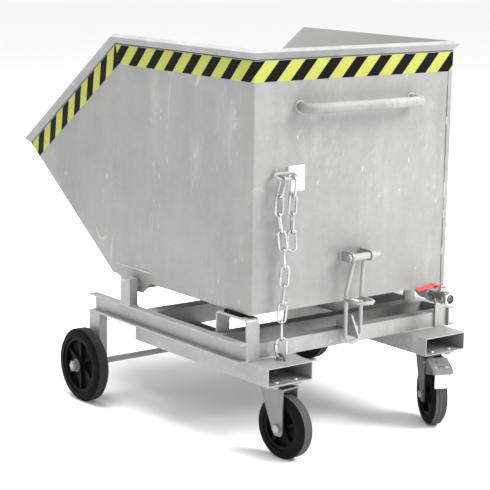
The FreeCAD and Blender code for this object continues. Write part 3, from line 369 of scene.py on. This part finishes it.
def hazard_film(name, sizes, colours):
    """Yellow film with slanted black stripes, read from the tape's own UV map in metres."""
    finish, tree, shader, where = new_finish(name)
    along = put(tree, "ShaderNodeUVMap", uv_map="tape")["UV"]
    parts = put(tree, "ShaderNodeSeparateXYZ", {"Vector": along})
    run = sums(tree, "MULTIPLY_ADD", parts["Y"], -sizes.stripe_lean, parts["X"])
    turn = sums(tree, "FRACT", sums(tree, "DIVIDE", sums(tree, "SUBTRACT", run, sizes.stripe_start),
                                    sizes.stripe_pitch))
    black = sums(tree, "LESS_THAN", turn, sizes.stripe_black / sizes.stripe_pitch)
    wear = noise(tree, where, TAPE_WEAR, 6.0, 0.7)
    yellow = blend(tree, ramp(tree, wear, 0.35, 0.8, 0.0, 0.5), colours.tape_yellow,
                   [part * 0.72 for part in colours.tape_yellow])
    dark = blend(tree, ramp(tree, wear, 0.45, 0.85, 0.0, 0.2), colours.tape_black, colours.tape_scuffed)
    fill(tree, shader, {"Base Color": blend(tree, black, yellow, dark), "Specular IOR Level": 0.05,
                        "Roughness": ramp(tree, wear, 0.3, 0.75, 0.30, 0.55),
                        "Normal": relief(tree, noise(tree, where, TAPE_RIPPLES), 0.05, 0.0008)})
    return finish


def finishes():
    """The trolley's materials, made once and then found by name."""
    if "galvanised_sheet" not in bpy.data.materials:
        colours, sizes = bpy.context.scene.skip_colours, bpy.context.scene.skip_sizes
        galvanised("galvanised_sheet", colours.sheet_dark, colours.sheet_light,
                   metallic=0.3, spangle=0.14, streaks=0.45, gloss=0.42)
        galvanised("galvanised_steel", colours.steel_dark, colours.steel_light,
                   metallic=0.35, spangle=0.16, streaks=0.25, gloss=0.42)
        # The rod finish is a paler copy of the tube's: painted light that lifts thin and shaded parts such as the
        # latch loop and the front axle
        for name, dark in (("galvanised_tube", colours.sheet_dark), ("galvanised_rod", colours.sheet_light)):
            galvanised(name, dark, colours.steel_light, metallic=0.25, spangle=0.1, streaks=0.15, gloss=0.6)
        plated("bright_zinc", colours.bright_zinc, rough=0.24)
        plated("dull_zinc", colours.dull_zinc, rough=0.44, metallic=0.5)
        plated("worn_zinc", colours.worn_zinc, rough=0.4, metallic=0.5)
        # Painted shade: the shaded zinc is a darker copy of the dull zinc
        plated("dark_zinc", colours.dark_zinc, rough=0.5, metallic=0.4)
        plated("plated_nickel", colours.nickel, rough=0.24)
        plated("knurled_nickel", colours.knurl, rough=0.4, metallic=0.7)
        plated("weld", colours.weld, rough=0.5, metallic=0.2)
        for name, worn in (("black_rubber", None), ("tyre_rubber", colours.worn_rubber)):
            moulded(name, colours.rubber, rough=0.65, dust=0.004, grain=0.2, shine=0.06, worn=worn)
        moulded("moulded_rim", colours.plastic, rough=0.5, dust=0.003, grain=0.12, shine=0.06)
        # Painted shade for gaps and holes
        moulded("seam", colours.seam, rough=0.8, dust=0.03, grain=0.1)
        moulded("white_plastic", colours.white, rough=0.4, dust=-0.03, grain=0.05)
        moulded("lever_sleeve", colours.lever, rough=0.36, dust=0.02, grain=0.1)
        moulded("label_film", colours.label, rough=0.45, dust=-0.03, grain=0.05)
        hazard_film("hazard_tape", sizes, colours)
    return bpy.data.materials


# Meshes

def link_up(name, mesh, material, body):
    """Put a finished mesh into the scene as a piece that moves with a body."""
    piece = bpy.data.objects.new(name, mesh)
    bpy.context.scene.collection.objects.link(piece)
    mesh.materials.clear()
    mesh.materials.append(finishes()[material])
    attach(piece, body)
    return piece


def settle(piece):
    """Turn a piece's modifiers into its plain mesh."""
    shaped = bpy.data.meshes.new_from_object(piece.evaluated_get(bpy.context.evaluated_depsgraph_get()))
    piece.modifiers.clear()
    piece.data = shaped
    return piece


def as_mesh(form, name):
    """Turn a working form into a mesh."""
    mesh = bpy.data.meshes.new(name)
    form.to_mesh(mesh)
    form.free()
    return mesh


def welded_copy(node):
    """A copy of a CAD node's mesh with its triangles joined and its flat faces whole."""
    form = bmesh.new()
    form.from_mesh(frame["nodes"][node].data)
    bmesh.ops.remove_doubles(form, verts=form.verts, dist=SAME_POINT)
    bmesh.ops.dissolve_limit(form, angle_limit=FLAT, verts=form.verts, edges=form.edges, delimit={"NORMAL"})
    return form


def dress(node, material, rounding=0.0, steps=2, along=None, long_rounding=0.0):
    """Replace a CAD node by its own form with rounded edges, smooth curves and a finish.

    Edges that run along the given axis may have a rounding of their own."""
    mesh = as_mesh(welded_copy(node), node + "_dressed")
    mesh.shade_smooth()
    body = next(name for name, members in frame["record"]["behaviour"]["bodies"].items() if node in members)
    piece = link_up(node + "_dressed", mesh, material, body)
    if not rounding:
        mesh.set_sharp_from_angle(angle=SHARP)
        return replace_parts(piece, node)
    soft = piece.modifiers.new("Edges", "BEVEL")
    soft.width, soft.segments, soft.limit_method = rounding, steps, "ANGLE"
    soft.angle_limit, soft.use_clamp_overlap = SHARP, True
    if along:
        weigh_edges(mesh, along, rounding / long_rounding)
        soft.width, soft.segments, soft.limit_method = long_rounding, ROUND_STEPS, "WEIGHT"
    even = piece.modifiers.new("Normals", "WEIGHTED_NORMAL")
    even.keep_sharp = True
    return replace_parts(settle(piece), node)


def weigh_edges(mesh, along, small):
    """Bevel weights of a mesh's sharp edges: full along one axis, small elsewhere."""
    form = bmesh.new()
    form.from_mesh(mesh)
    layer = form.edges.layers.float.new("bevel_weight_edge")
    for edge in form.edges:
        if len(edge.link_faces) == 2 and edge.calc_face_angle() > SHARP:
            line = (edge.verts[0].co - edge.verts[1].co).normalized()
            edge[layer] = 1.0 if abs(line.dot(Vector(along))) > PARALLEL else small
    form.to_mesh(mesh)
    form.free()


def mark_faces(piece, name, test):
    """Mark each face of a piece with what a test says of it, 0 to 1, for its finish to read."""
    marks = [float(test(face)) for face in piece.data.polygons]
    piece.data.attributes.new(name, "FLOAT", "FACE").data.foreach_set("value", marks)


def joint_of(body):
    """The joint that a body moves on: its place and its axis."""
    joint = next(joint for joint in frame["joints"] if joint["child"] == body)
    return Vector(joint["pos_m"]), Vector(joint["axis"]).normalized()


def mark_tread(tyre, body, wear):
    """Mark the ribs and grooves of a tyre's tread with how worn they are."""
    centre, axis = joint_of(body)
    heights = []
    for point in tyre.data.vertices:
        out = point.co - centre
        heights.append((out - axis * out.dot(axis)).length)
    low = max(heights) - TREAD_DEPTH
    mark_faces(tyre, "tread", lambda face: wear * all(heights[index] > low for index in face.vertices))


def islands(node):
    """The separate solids of a CAD node, each as a list of points."""
    form = welded_copy(node)
    found, seen = [], set()
    for start in form.verts:
        if start in seen:
            continue
        heap, group = [start], []
        seen.add(start)
        while heap:
            point = heap.pop()
            group.append(point.co.copy())
            for edge in point.link_edges:
                other = edge.other_vert(point)
                if other not in seen:
                    seen.add(other)
                    heap.append(other)
        found.append(group)
    form.free()
    return found


def widest(points, middle, along):
    """The direction square to a given one in which points spread most from their middle."""
    spread = Matrix(((0, 0, 0),) * 3)
    for point in points:
        off = point - middle
        off -= along * off.dot(along)
        spread += Matrix([[off[i] * off[j] for j in range(3)] for i in range(3)])
    across, rounds = Vector((0.3, 0.5, 0.7)), 40  # any start serves that is not square to the answer
    for _ in range(rounds):
        across = (spread @ across).normalized()
    return across


def film_mesh(name, patches, thickness):
    """Thin films, each from four corners with their UVs and the way it faces, closed at the edges."""
    form = bmesh.new()
    layer = form.loops.layers.uv.new("tape")
    for corners, marks, way in patches:
        outer = [form.verts.new(point + way * thickness) for point in corners]
        inner = [form.verts.new(point) for point in corners]
        faces = [(outer, marks), (inner[::-1], marks[::-1])]
        for i in range(4):
            j = (i + 1) % 4
            faces.append(([outer[j], outer[i], inner[i], inner[j]], [marks[j], marks[i], marks[i], marks[j]]))
        for verts, uvs in faces:
            face = form.faces.new(verts)
            for loop, uv in zip(face.loops, uvs):
                loop[layer].uv = uv
    bmesh.ops.recalc_face_normals(form, faces=form.faces)
    return as_mesh(form, name)


def plates_mesh(name, outlines, thickness):
    """Flat plates, each from its outline and the way that its thickness goes."""
    form = bmesh.new()
    for corners, way in outlines:
        near = [form.verts.new(point) for point in corners]
        far = [form.verts.new(point + way * thickness) for point in corners]
        form.faces.new(near)
        form.faces.new(far[::-1])
        for i in range(len(corners)):
            form.faces.new((near[i - 1], far[i - 1], far[i], near[i]))
    bmesh.ops.recalc_face_normals(form, faces=form.faces)
    return as_mesh(form, name)


def edge_band(top, width, shift=0.0):
    """Patches of a band that follows the bin's edge on its outer faces, from a depth below the edge.

    Their UVs are the distance from the rear left corner, shifted on the slopes, and the height in the band."""
    low = top + width
    kink = Vector((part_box("rim_left")[1].x, 0, BIN_TOP))
    lip = Vector((BIN_HIGH.x, 0, LIP_UP * MM))
    slope = math.atan2(kink.z - lip.z, lip.x - kink.x)
    chute = math.atan2(lip.z - BIN_LOW.z, lip.x - at(CHUTE_FOOT, 0, 0).x)
    down = Vector((math.cos(slope), 0, -math.sin(slope)))
    up_chute = Vector((math.cos(chute), 0, math.sin(chute)))
    back = 2 * BIN_LEFT
    places = {"rear": lambda depth: Vector((BACK - FILM_GAP, 0, BIN_TOP - depth)),
              "kink": lambda depth: kink + Vector((-depth * math.tan(slope / 2), 0, -depth)),
              "lip": lambda depth: lip - depth / math.sin(slope + chute) * up_chute}
    patches = []
    for side in (1, -1):
        wall = Vector((0, side * (BIN_LEFT + FILM_GAP), 0))
        for first, last in (("rear", "kink"), ("kink", "lip")):
            corners, marks = [], []
            for place, depth in ((first, low), (last, low), (last, top), (first, top)):
                point = places[place](depth)
                run = point.x - BACK if last == "kink" else kink.x - BACK + shift + (point - kink).dot(down)
                corners.append(wall + point)
                marks.append((-run if side > 0 else back + run, low - depth))
            patches.append((corners, marks, Vector((0, side, 0))))
    corners = [Vector((BACK - FILM_GAP, side * BIN_LEFT, BIN_TOP - depth))
               for side, depth in ((1, low), (-1, low), (-1, top), (1, top))]
    marks = [(0, 0), (back, 0), (back, low - top), (0, low - top)]
    return patches + [(corners, marks, REARWARD)]


# Node trees for what repeats

# Least and most size of a weld bead as shares of the weld's width
BEAD_LEAST, BEAD_MOST = (0.8, 0.85, 0.8), (1.0, 1.1, 1.05)
# Steps round a chain link's end and round its wire, and the end's radius as a share of the link's width
END_STEPS, WIRE_STEPS, NEARLY_HALF = 7, 14, 0.499


def new_tree(name, inputs):
    """A geometry tree with a geometry input, the named inputs and a geometry output."""
    tree = bpy.data.node_groups.new(name, "GeometryNodeTree")
    tree.interface.new_socket("Geometry", in_out="INPUT", socket_type="NodeSocketGeometry")
    tree.interface.new_socket("Geometry", in_out="OUTPUT", socket_type="NodeSocketGeometry")
    for label, kind in inputs:
        tree.interface.new_socket(label, in_out="INPUT", socket_type="NodeSocket" + kind)
    return tree, tree.nodes.new("NodeGroupInput").outputs, tree.nodes.new("NodeGroupOutput")


def finish_tree(tree, given, last, out):
    """End a tree: real geometry, smooth shading, then the material."""
    real = put(tree, "GeometryNodeRealizeInstances", {"Geometry": last})
    smooth = put(tree, "GeometryNodeSetShadeSmooth", {"Geometry": real["Geometry"]})
    painted = put(tree, "GeometryNodeSetMaterial", {
        "Geometry": smooth["Geometry"], "Material": given["Material"]})
    tree.links.new(painted["Geometry"], out.inputs["Geometry"])
    return tree


def grow(name, base, tree, values, material, body):
    """Run a tree on a base mesh and keep the result as a plain piece."""
    piece = link_up(name, base, material, body)
    work = piece.modifiers.new("Nodes", "NODES")
    work.node_group = tree
    sockets = {item.name: item.identifier for item in tree.interface.items_tree if item.in_out == "INPUT"}
    for label, value in values.items():
        work[sockets[label]] = value
    work[sockets["Material"]] = finishes()[material]
    if not settle(piece).data.polygons:
        raise RuntimeError("nothing grew for " + name)
    return piece


def weld_tree():
    """Overlapping beads along every line of the base mesh."""
    if "weld_run" in bpy.data.node_groups:
        return bpy.data.node_groups["weld_run"]
    tree, given, out = new_tree("weld_run", [
        ("Width", "Float"), ("Pitch", "Float"), ("Seed", "Int"), ("Material", "Material")])
    line = put(tree, "GeometryNodeMeshToCurve", {"Mesh": given["Geometry"]})
    steps = put(tree, "GeometryNodeResampleCurve", {
        "Curve": line["Curve"], "Length": given["Pitch"]}, mode="LENGTH")
    ball = put(tree, "GeometryNodeMeshIcoSphere", {"Radius": 0.5, "Subdivisions": 2})
    uneven = put(tree, "FunctionNodeRandomValue", {
        "Min": BEAD_LEAST, "Max": BEAD_MOST, "Seed": given["Seed"]}, data_type="FLOAT_VECTOR")
    scale = put(tree, "ShaderNodeVectorMath", {
        0: uneven["Value"], "Scale": given["Width"]}, operation="SCALE")
    beads = put(tree, "GeometryNodeInstanceOnPoints", {
        "Points": steps["Curve"], "Instance": ball["Mesh"], "Scale": scale["Vector"]})
    return finish_tree(tree, given, beads["Instances"], out)


def link_tree():
    """A chain link, a bent and welded oval of round wire, on every point of the base mesh."""
    tree, given, out = new_tree("chain_links", [
        ("Wire", "Float"), ("Long", "Float"), ("Wide", "Float"), ("Material", "Material")])
    half = sums(tree, "MULTIPLY", given["Wide"], NEARLY_HALF)
    oval = put(tree, "GeometryNodeCurvePrimitiveQuadrilateral", {
        "Width": given["Long"], "Height": given["Wide"]})
    round_ends = put(tree, "GeometryNodeFilletCurve", {
        "Curve": oval["Curve"], "Count": END_STEPS, "Radius": half}, mode="POLY")
    thick = sums(tree, "MULTIPLY", given["Wire"], 0.5)
    wire = put(tree, "GeometryNodeCurvePrimitiveCircle", {"Resolution": WIRE_STEPS, "Radius": thick})
    link = put(tree, "GeometryNodeCurveToMesh", {
        "Curve": round_ends["Curve"], "Profile Curve": wire["Curve"]})
    turn = put(tree, "GeometryNodeInputNamedAttribute", {"Name": "turn"}, data_type="FLOAT_VECTOR")
    links = put(tree, "GeometryNodeInstanceOnPoints", {
        "Points": given["Geometry"], "Instance": link["Mesh"],
        "Rotation": turn["Attribute"]})
    return finish_tree(tree, given, links["Instances"], out)


def points_mesh(name, points, turns=None):
    """A mesh of loose points, with the turn of what stands on each."""
    mesh = bpy.data.meshes.new(name)
    mesh.from_pydata(points, [], [])
    if turns:
        mesh.attributes.new("turn", "FLOAT_VECTOR", "POINT").data.foreach_set(
            "vector", [number for turn in turns for number in turn])
    return mesh


def lines_mesh(name, runs):
    """A mesh of lines; each run is a list of points."""
    mesh = bpy.data.meshes.new(name)
    points, edges = [], []
    for run in runs:
        edges += [(len(points) + i, len(points) + i + 1) for i in range(len(run) - 1)]
        points += run
    mesh.from_pydata(points, edges, [])
    return mesh


# Operators

class SKIP_OT_frame(bpy.types.Operator):
    """Galvanise the wheeled frame and round its cut edges"""
    bl_idname = "skip.frame"
    bl_label = "Frame"

    def execute(self, context):
        edge = context.scene.skip_sizes.edge_round
        for node in ("fork_pocket_left", "fork_pocket_right"):
            dress(node, "galvanised_steel", edge, along=(1, 0, 0),
                  long_rounding=context.scene.skip_sizes.tube_round)
        for node in ("rail_left", "rail_right", "cross_member_rear", "cross_member_middle",
                     "cross_member_front", "pivot_post_left", "pivot_post_right", "front_leg_left",
                     "front_leg_right", "bin_rest_left", "bin_rest_right", "catch_plate"):
            dress(node, "galvanised_steel", edge)
        for node in ("pivot_shaft", "axle_nuts_and_spacers", "chain_eye"):
            dress(node, "dull_zinc", edge * FINE_EDGE)
        # Painted light: the paler rod finish lifts the front axle out of the trolley's shade
        dress("front_axle", "galvanised_rod", edge * FINE_EDGE)
        dress("rest_pads", "black_rubber", edge * PAD_EDGE)
        return {"FINISHED"}


class SKIP_OT_bin(bpy.types.Operator):
    """Galvanise the bin's sheets and its folded rim"""
    bl_idname = "skip.bin"
    bl_label = "Bin"

    def execute(self, context):
        edge = context.scene.skip_sizes.sheet_round
        for node, inward in (("bin_side_left", Vector((0, -1, 0))), ("bin_side_right", Vector((0, 1, 0))),
                             ("bin_back", -REARWARD), ("bin_floor", UP), ("bin_chute", UP)):
            sheet = dress(node, "galvanised_sheet", edge)
            # Painted shade on the downward faces of the floor and chute, and painted light on each sheet's faces
            # into the bin
            if inward == UP:
                mark_faces(sheet, "underside", lambda face: face.normal.z < DOWNWARD)
            mark_faces(sheet, "inside", lambda face: face.normal.dot(inward) > INWARD)
        for node in ("rim_left", "rim_right", "rim_back", "rim_slope_left", "rim_slope_right"):
            dress(node, "galvanised_sheet", edge)
        for node in ("hinge_tube", "hinge_plates", "latch_lugs"):
            dress(node, "galvanised_steel", edge)
        return {"FINISHED"}


class SKIP_OT_handle(bpy.types.Operator):
    """Finish the bent push handle"""
    bl_idname = "skip.handle"
    bl_label = "Push handle"

    def execute(self, context):
        dress("push_handle", "galvanised_tube")
        return {"FINISHED"}


class SKIP_OT_tape(bpy.types.Operator):
    """Stick the striped hazard tape round the bin, and draw the shadowed seam under its rim"""
    bl_idname = "skip.tape"
    bl_label = "Hazard tape"

    def execute(self, context):
        sizes = context.scene.skip_sizes
        patches = edge_band(sizes.tape_drop, sizes.tape_width, sizes.slope_start)
        link_up("hazard_tape", film_mesh("hazard_tape", patches, sizes.tape_thick), "hazard_tape", "bin")
        # Painted shade: a dark strip in the gap under the rim
        patches = edge_band(sizes.seam_drop, sizes.seam_width)
        link_up("rim_seam", film_mesh("rim_seam", patches, sizes.seam_thick), "seam", "bin")
        return {"FINISHED"}


class SKIP_OT_lap(bpy.types.Operator):
    """Lap the sheets at the rear right corner, with an open seam between short welds"""
    bl_idname = "skip.lap"
    bl_label = "Lapped corner"

    def execute(self, context):
        sizes = context.scene.skip_sizes
        edge = -BIN_LEFT + sizes.lap_width

        def patch(y0, y1, ends, gap):
            low, high = (end * MM for end in ends)
            corners = [Vector((BACK - gap, y, z)) for y, z in ((y0, low), (y1, low), (y1, high), (y0, high))]
            return corners, [(0, 0)] * len(corners), REARWARD

        lap = film_mesh("corner_lap", [patch(edge, -BIN_LEFT + sizes.lap_inset, LAP_ENDS, sizes.lap_gap)],
                        sizes.lap_thick)
        link_up("corner_lap", lap, "galvanised_sheet", "bin")
        # Painted shade: dark strips in the open seams beside the lapped sheet
        seams = [patch(edge + sizes.lap_seam, edge, ends, FILM_GAP) for ends in OPEN_SEAMS]
        link_up("corner_seam", film_mesh("corner_seam", seams, sizes.seam_thick), "seam", "bin")
        return {"FINISHED"}


class SKIP_OT_label(bpy.types.Operator):
    """Stick the blank label on the back wall"""
    bl_idname = "skip.label"
    bl_label = "Blank label"

    def execute(self, context):
        sizes = context.scene.skip_sizes
        radius = sizes.label_round
        low, high = at(0, *LABEL_LOW), at(0, *LABEL_HIGH)
        left, right, top, bottom = high.y - radius, low.y + radius, high.z - radius, low.z + radius
        corners = []
        for y, z, start in ((left, top, 0), (right, top, 90), (right, bottom, 180), (left, bottom, 270)):
            for i in range(ROUND_STEPS + 1):
                angle = math.radians(start + 90 * i / ROUND_STEPS)
                corners.append(Vector((BACK - FILM_GAP, y + radius * math.cos(angle),
                                       z + radius * math.sin(angle))))
        mesh = plates_mesh("blank_label", [(corners, REARWARD)], sizes.label_thick)
        link_up("blank_label", mesh, "label_film", "bin")
        return {"FINISHED"}


class SKIP_OT_welds(bpy.types.Operator):
    """Run the weld beads along the seams of the bin and the frame"""
    bl_idname = "skip.welds"
    bl_label = "Welds"

    def execute(self, context):
        sizes = context.scene.skip_sizes
        values = {"Width": sizes.weld_width, "Pitch": sizes.weld_pitch, "Seed": sizes.weld_seed}
        side = BIN_LEFT / MM
        bin_runs = [[at(x, way * side, SIDE_WELD_UP) for x in SIDE_WELD_ENDS] for way in (1, -1)]
        turns = [math.tau * i / RING_STEPS for i in range(RING_STEPS + 1)]
        across, high = HANDLE_END
        bin_runs += [[at(0, way * across + HANDLE_WELD * math.cos(turn), high + HANDLE_WELD * math.sin(turn))
                      for turn in turns] for way in (1, -1)]
        lap = -side + sizes.lap_width / MM
        for y, low, high in BACK_WELDS + tuple((lap, *ends) for ends in LAP_WELDS):
            bin_runs.append([at(0, y, low), at(0, y, high)])
        grow("bin_welds", lines_mesh("bin_weld_lines", bin_runs), weld_tree(), values, "weld", "bin")
        frame_runs = []
        for node, high in (("pivot_post_left", False), ("pivot_post_right", False), ("front_leg_left", True),
                           ("front_leg_right", True)):
            low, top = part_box(node)
            z = top.z if high else low.z
            ring = ((low.x, low.y), (top.x, low.y), (top.x, top.y), (low.x, top.y), (low.x, low.y))
            frame_runs.append([Vector((x, y, z)) for x, y in ring])
        low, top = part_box("fork_pocket_left")
        ends = low.y + POCKET_WELD_INSET * MM, top.y - POCKET_WELD_INSET * MM
        crossings = [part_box("cross_member_" + name)[edge].x for name, edge in
                     (("rear", 0), ("middle", 1), ("front", 0))]
        for way in (1, -1):
            frame_runs += [[Vector((x, way * y, top.z)) for y in ends] for x in crossings]
        grow("frame_welds", lines_mesh("frame_weld_lines", frame_runs), weld_tree(), values, "weld", "frame")
        return {"FINISHED"}


class SKIP_OT_chain(bpy.types.Operator):
    """Make the safety chain's links, its ring and its screw link"""
    bl_idname = "skip.chain"
    bl_label = "Safety chain"

    def execute(self, context):
        sizes = context.scene.skip_sizes
        centres, turns, spans = [], [], []
        for group in islands("chain"):
            middle = (Vector(map(min, *group)) + Vector(map(max, *group))) / 2
            far = max(group, key=lambda point: (point - middle).length)
            along = (far - middle).normalized()
            across = widest(group, middle, along)
            flat = along.cross(across).normalized()
            across = flat.cross(along)
            turns.append(Matrix((along, across, flat)).transposed().to_euler())
            centres.append(middle)
            spans.append((2 * (far - middle).length, 2 * max((point - middle).dot(across) for point in group)))
        long = sum(span[0] for span in spans) / len(spans)
        wide = sum(span[1] for span in spans) / len(spans)
        values = {"Wire": sizes.link_wire, "Long": long - sizes.link_wire, "Wide": wide - sizes.link_wire}
        links = grow("chain_links", points_mesh("chain_places", centres, turns), link_tree(), values,
                     "bright_zinc", "bin")
        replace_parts(links, "chain")
        dress("quick_link", "bright_zinc")
        # Painted light: the paler rod finish for the chain's ring
        dress("chain_staple", "galvanised_rod")
        return {"FINISHED"}


class SKIP_OT_latch(bpy.types.Operator):
    """Finish the hanging latch that holds the bin down"""
    bl_idname = "skip.latch"
    bl_label = "Latch"

    def execute(self, context):
        edge = context.scene.skip_sizes.edge_round
        # Painted light: the paler rod finish brightens the thin latch parts
        for node in ("latch_pin", "latch_sleeve"):
            dress(node, "galvanised_rod", edge * FINE_EDGE)
        for node in ("latch_loop", "latch_grip"):
            dress(node, "galvanised_rod")
        return {"FINISHED"}


class SKIP_OT_valve(bpy.types.Operator):
    """Finish the drain pipe, its ball valve and the red lever"""
    bl_idname = "skip.valve"
    bl_label = "Drain valve"

    def execute(self, context):
        edge = context.scene.skip_sizes.edge_round
        dress("drain_pipe", "galvanised_tube")
        valve = dress("valve_body", "plated_nickel", edge)
        valve.data.materials.append(finishes()["knurled_nickel"])
        axis, pipe = joint_of("valve")[0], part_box("drain_pipe")[0].z
        for face in valve.data.polygons:
            rise = face.center.z - pipe - PIPE_RADIUS
            reach = math.hypot(face.center.y - axis.y, rise)
            face.material_index = int(reach > KNURL_RADIUS and abs(rise) < KNURL_HEIGHT)
        dress("valve_stem", "plated_nickel", edge * FINE_EDGE)
        dress("valve_lever", "lever_sleeve", edge * LEVER_EDGE, ROUND_STEPS)
        return {"FINISHED"}


class SKIP_OT_casters(bpy.types.Operator):
    """Finish the swivel casters, their plates, bolts and brake pedal"""
    bl_idname = "skip.casters"
    bl_label = "Casters"

    def execute(self, context):
        edge = context.scene.skip_sizes.edge_round
        # The right caster's fork gets the shaded zinc, a painted shade for a fork that stands in the trolley's
        # shade
        for side, plating in (("left", "dull_zinc"), ("right", "dark_zinc")):
            dress("caster_plate_" + side, "dull_zinc", edge)
            dress("caster_fork_" + side, plating, edge)
            dress("caster_axle_" + side, "worn_zinc", edge * FINE_EDGE)
            dress("caster_rim_" + side, "moulded_rim", edge * MOULD_EDGE)
            tyre = dress("caster_tyre_" + side, "tyre_rubber")
            mark_tread(tyre, "caster_wheel_" + side, CASTER_WEAR)
        dress("caster_bolts", "worn_zinc", edge * MOULD_EDGE)
        pedal = dress("brake_pedal", "dull_zinc", edge)
        pedal.data.materials.append(finishes()["white_plastic"])
        for face in pedal.data.polygons:
            face.material_index = int(face.center.z < at(0, 0, WHITE_LIP_TOP).z)
        self.add_cheeks()
        return {"FINISHED"}

    def add_cheeks(self):
        """The pedal's folded-down sides in painted shade, the hole and slot in its top as plates of painted shade,
        and the two bumps beside them with a painted highlight.
        """
        pin, across = joint_of("brake")
        ahead = across.cross(UP)
        ahead *= -1 if ahead.x > 0 else 1

        def spot(forward, sideways, high):
            return pin + (ahead * forward + across * sideways + UP * high) * MM

        cheeks = [([spot(u, way * CHEEK_SIDE, v) for u, v in CHEEK], across * way) for way in (1, -1)]
        link_up("pedal_cheeks", plates_mesh("pedal_cheeks", cheeks, CHEEK_THICK), "dark_zinc", "brake")
        (u, v), (long, wide) = HOLE_CENTRE, HOLE_RADII
        hole = [(u + long * math.cos(turn), v + wide * math.sin(turn)) for turn in
                (math.tau * i / HOLE_STEPS for i in range(HOLE_STEPS))]
        near, far = BUMP_ENDS
        bumps = [[(near, low), (near, low + BUMP_WIDTH), (far, low + BUMP_WIDTH), (far, low)]
                 for low in BUMP_STARTS]
        # Painted shade in the hole and slot, and a painted highlight on the bumps
        for name, outlines, thickness, finish in (("pedal_holes", (hole, PEDAL_SLOT), HOLE_THICK, "seam"),
                                                  ("pedal_bumps", bumps, BUMP_THICK, "bright_zinc")):
            laid = [([spot(u, v, CREST_UP - (u - CREST_AHEAD) * TOP_FALL) for u, v in outline], UP)
                    for outline in outlines]
            link_up(name, plates_mesh(name, laid, thickness), finish, "brake")


class SKIP_OT_wheels(bpy.types.Operator):
    """Finish the fixed front wheels"""
    bl_idname = "skip.wheels"
    bl_label = "Front wheels"

    def execute(self, context):
        edge = context.scene.skip_sizes.edge_round
        for side in ("left", "right"):
            dress("front_rim_" + side, "moulded_rim", edge * MOULD_EDGE)
            tyre = dress("front_tyre_" + side, "tyre_rubber")
            mark_tread(tyre, "front_wheel_" + side, FRONT_WEAR)
        return {"FINISHED"}


class SKIP_OT_stage(bpy.types.Operator):
    """Set the pale floor, the soft studio light and the camera"""
    bl_idname = "skip.stage"
    bl_label = "Stage"

    def execute(self, context):
        scene, stage = context.scene, context.scene.skip_stage
        target = Vector(stage.target)
        back = (Vector(stage.camera) - target).normalized()
        right = UP.cross(back).normalized()
        up = back.cross(right)
        turn = Matrix((right, up, back)).transposed() @ Matrix.Rotation(stage.roll, 3, "Z")
        lens = bpy.data.cameras.new("photo_camera")
        lens.sensor_width, lens.lens, lens.clip_end = SENSOR_WIDTH, stage.lens, VIEW_DEPTH
        camera = bpy.data.objects.new("photo_camera", lens)
        camera.matrix_world = Matrix.Translation(stage.camera) @ turn.to_4x4()
        scene.collection.objects.link(camera)
        scene.camera = camera

        mesh = bpy.data.meshes.new("studio_floor")
        corners = [(x * FLOOR_HALF, y * FLOOR_HALF, 0) for x, y in ((-1, -1), (1, -1), (1, 1), (-1, 1))]
        mesh.from_pydata(corners, [], [(0, 1, 2, 3)])
        floor = bpy.data.objects.new("studio_floor", mesh)
        scene.collection.objects.link(floor)
        finish, tree, shader, where = new_finish("studio_paper")
        shade = [part * PAPER_SHADE for part in stage.floor]
        tone = blend(tree, noise(tree, where, PAPER_CLOUDS), stage.floor, shade)
        fill(tree, shader, {"Base Color": tone, "Roughness": 0.9})
        mesh.materials.append(finish)

        for name, place, power, size in LIGHTS:
            lamp = bpy.data.lights.new(name, "AREA")
            lamp.energy, lamp.shape, lamp.size = getattr(stage, power), "DISK", size
            light = bpy.data.objects.new(name, lamp)
            light.location = place
            light.rotation_euler = (LIGHT_AIM - Vector(place)).to_track_quat("-Z", "Y").to_euler()
            scene.collection.objects.link(light)
        world = bpy.data.worlds.new("studio")
        world.use_nodes = True
        sky = world.node_tree.nodes["Background"]
        fill(world.node_tree, sky, {"Color": (1, 1, 1, 1), "Strength": stage.sky})
        scene.world = world
        scene.view_settings.view_transform = "Standard"
        return {"FINISHED"}


OPERATORS = (SKIP_OT_frame, SKIP_OT_bin, SKIP_OT_handle, SKIP_OT_tape, SKIP_OT_lap, SKIP_OT_label,
             SKIP_OT_welds, SKIP_OT_chain, SKIP_OT_latch, SKIP_OT_valve, SKIP_OT_casters, SKIP_OT_wheels,
             SKIP_OT_stage)


class SKIP_PT_looks(bpy.types.Panel):
    """Lists the trolley's pieces and the settings of their looks"""
    bl_idname = "SKIP_PT_looks"
    bl_label = "Tipping skip"
    bl_space_type = "VIEW_3D"
    bl_region_type = "UI"
    bl_category = "Skip"

    def draw(self, context):
        for operator in OPERATORS:
            self.layout.operator(operator.bl_idname)
        for group in (context.scene.skip_sizes, context.scene.skip_colours, context.scene.skip_stage):
            box = self.layout.box()
            for name in group.__annotations__:
                box.prop(group, name)


CLASSES = (SkipColours, SkipSizes, SkipStage, *OPERATORS, SKIP_PT_looks)


def register():
    """Register the classes and hang their settings on the scene."""
    for item in CLASSES:
        bpy.utils.register_class(item)
    bpy.types.Scene.skip_colours = PointerProperty(type=SkipColours)
    bpy.types.Scene.skip_sizes = PointerProperty(type=SkipSizes)
    bpy.types.Scene.skip_stage = PointerProperty(type=SkipStage)


def unregister():
    """Take the settings and classes away again."""
    del bpy.types.Scene.skip_stage, bpy.types.Scene.skip_sizes, bpy.types.Scene.skip_colours
    for item in reversed(CLASSES):
        bpy.utils.unregister_class(item)


def main():
    """Dress the whole trolley."""
    register()
    for operator in OPERATORS:
        family, name = operator.bl_idname.split(".")
        getattr(getattr(bpy.ops, family), name)()


if __name__ == "__main__":
    main()
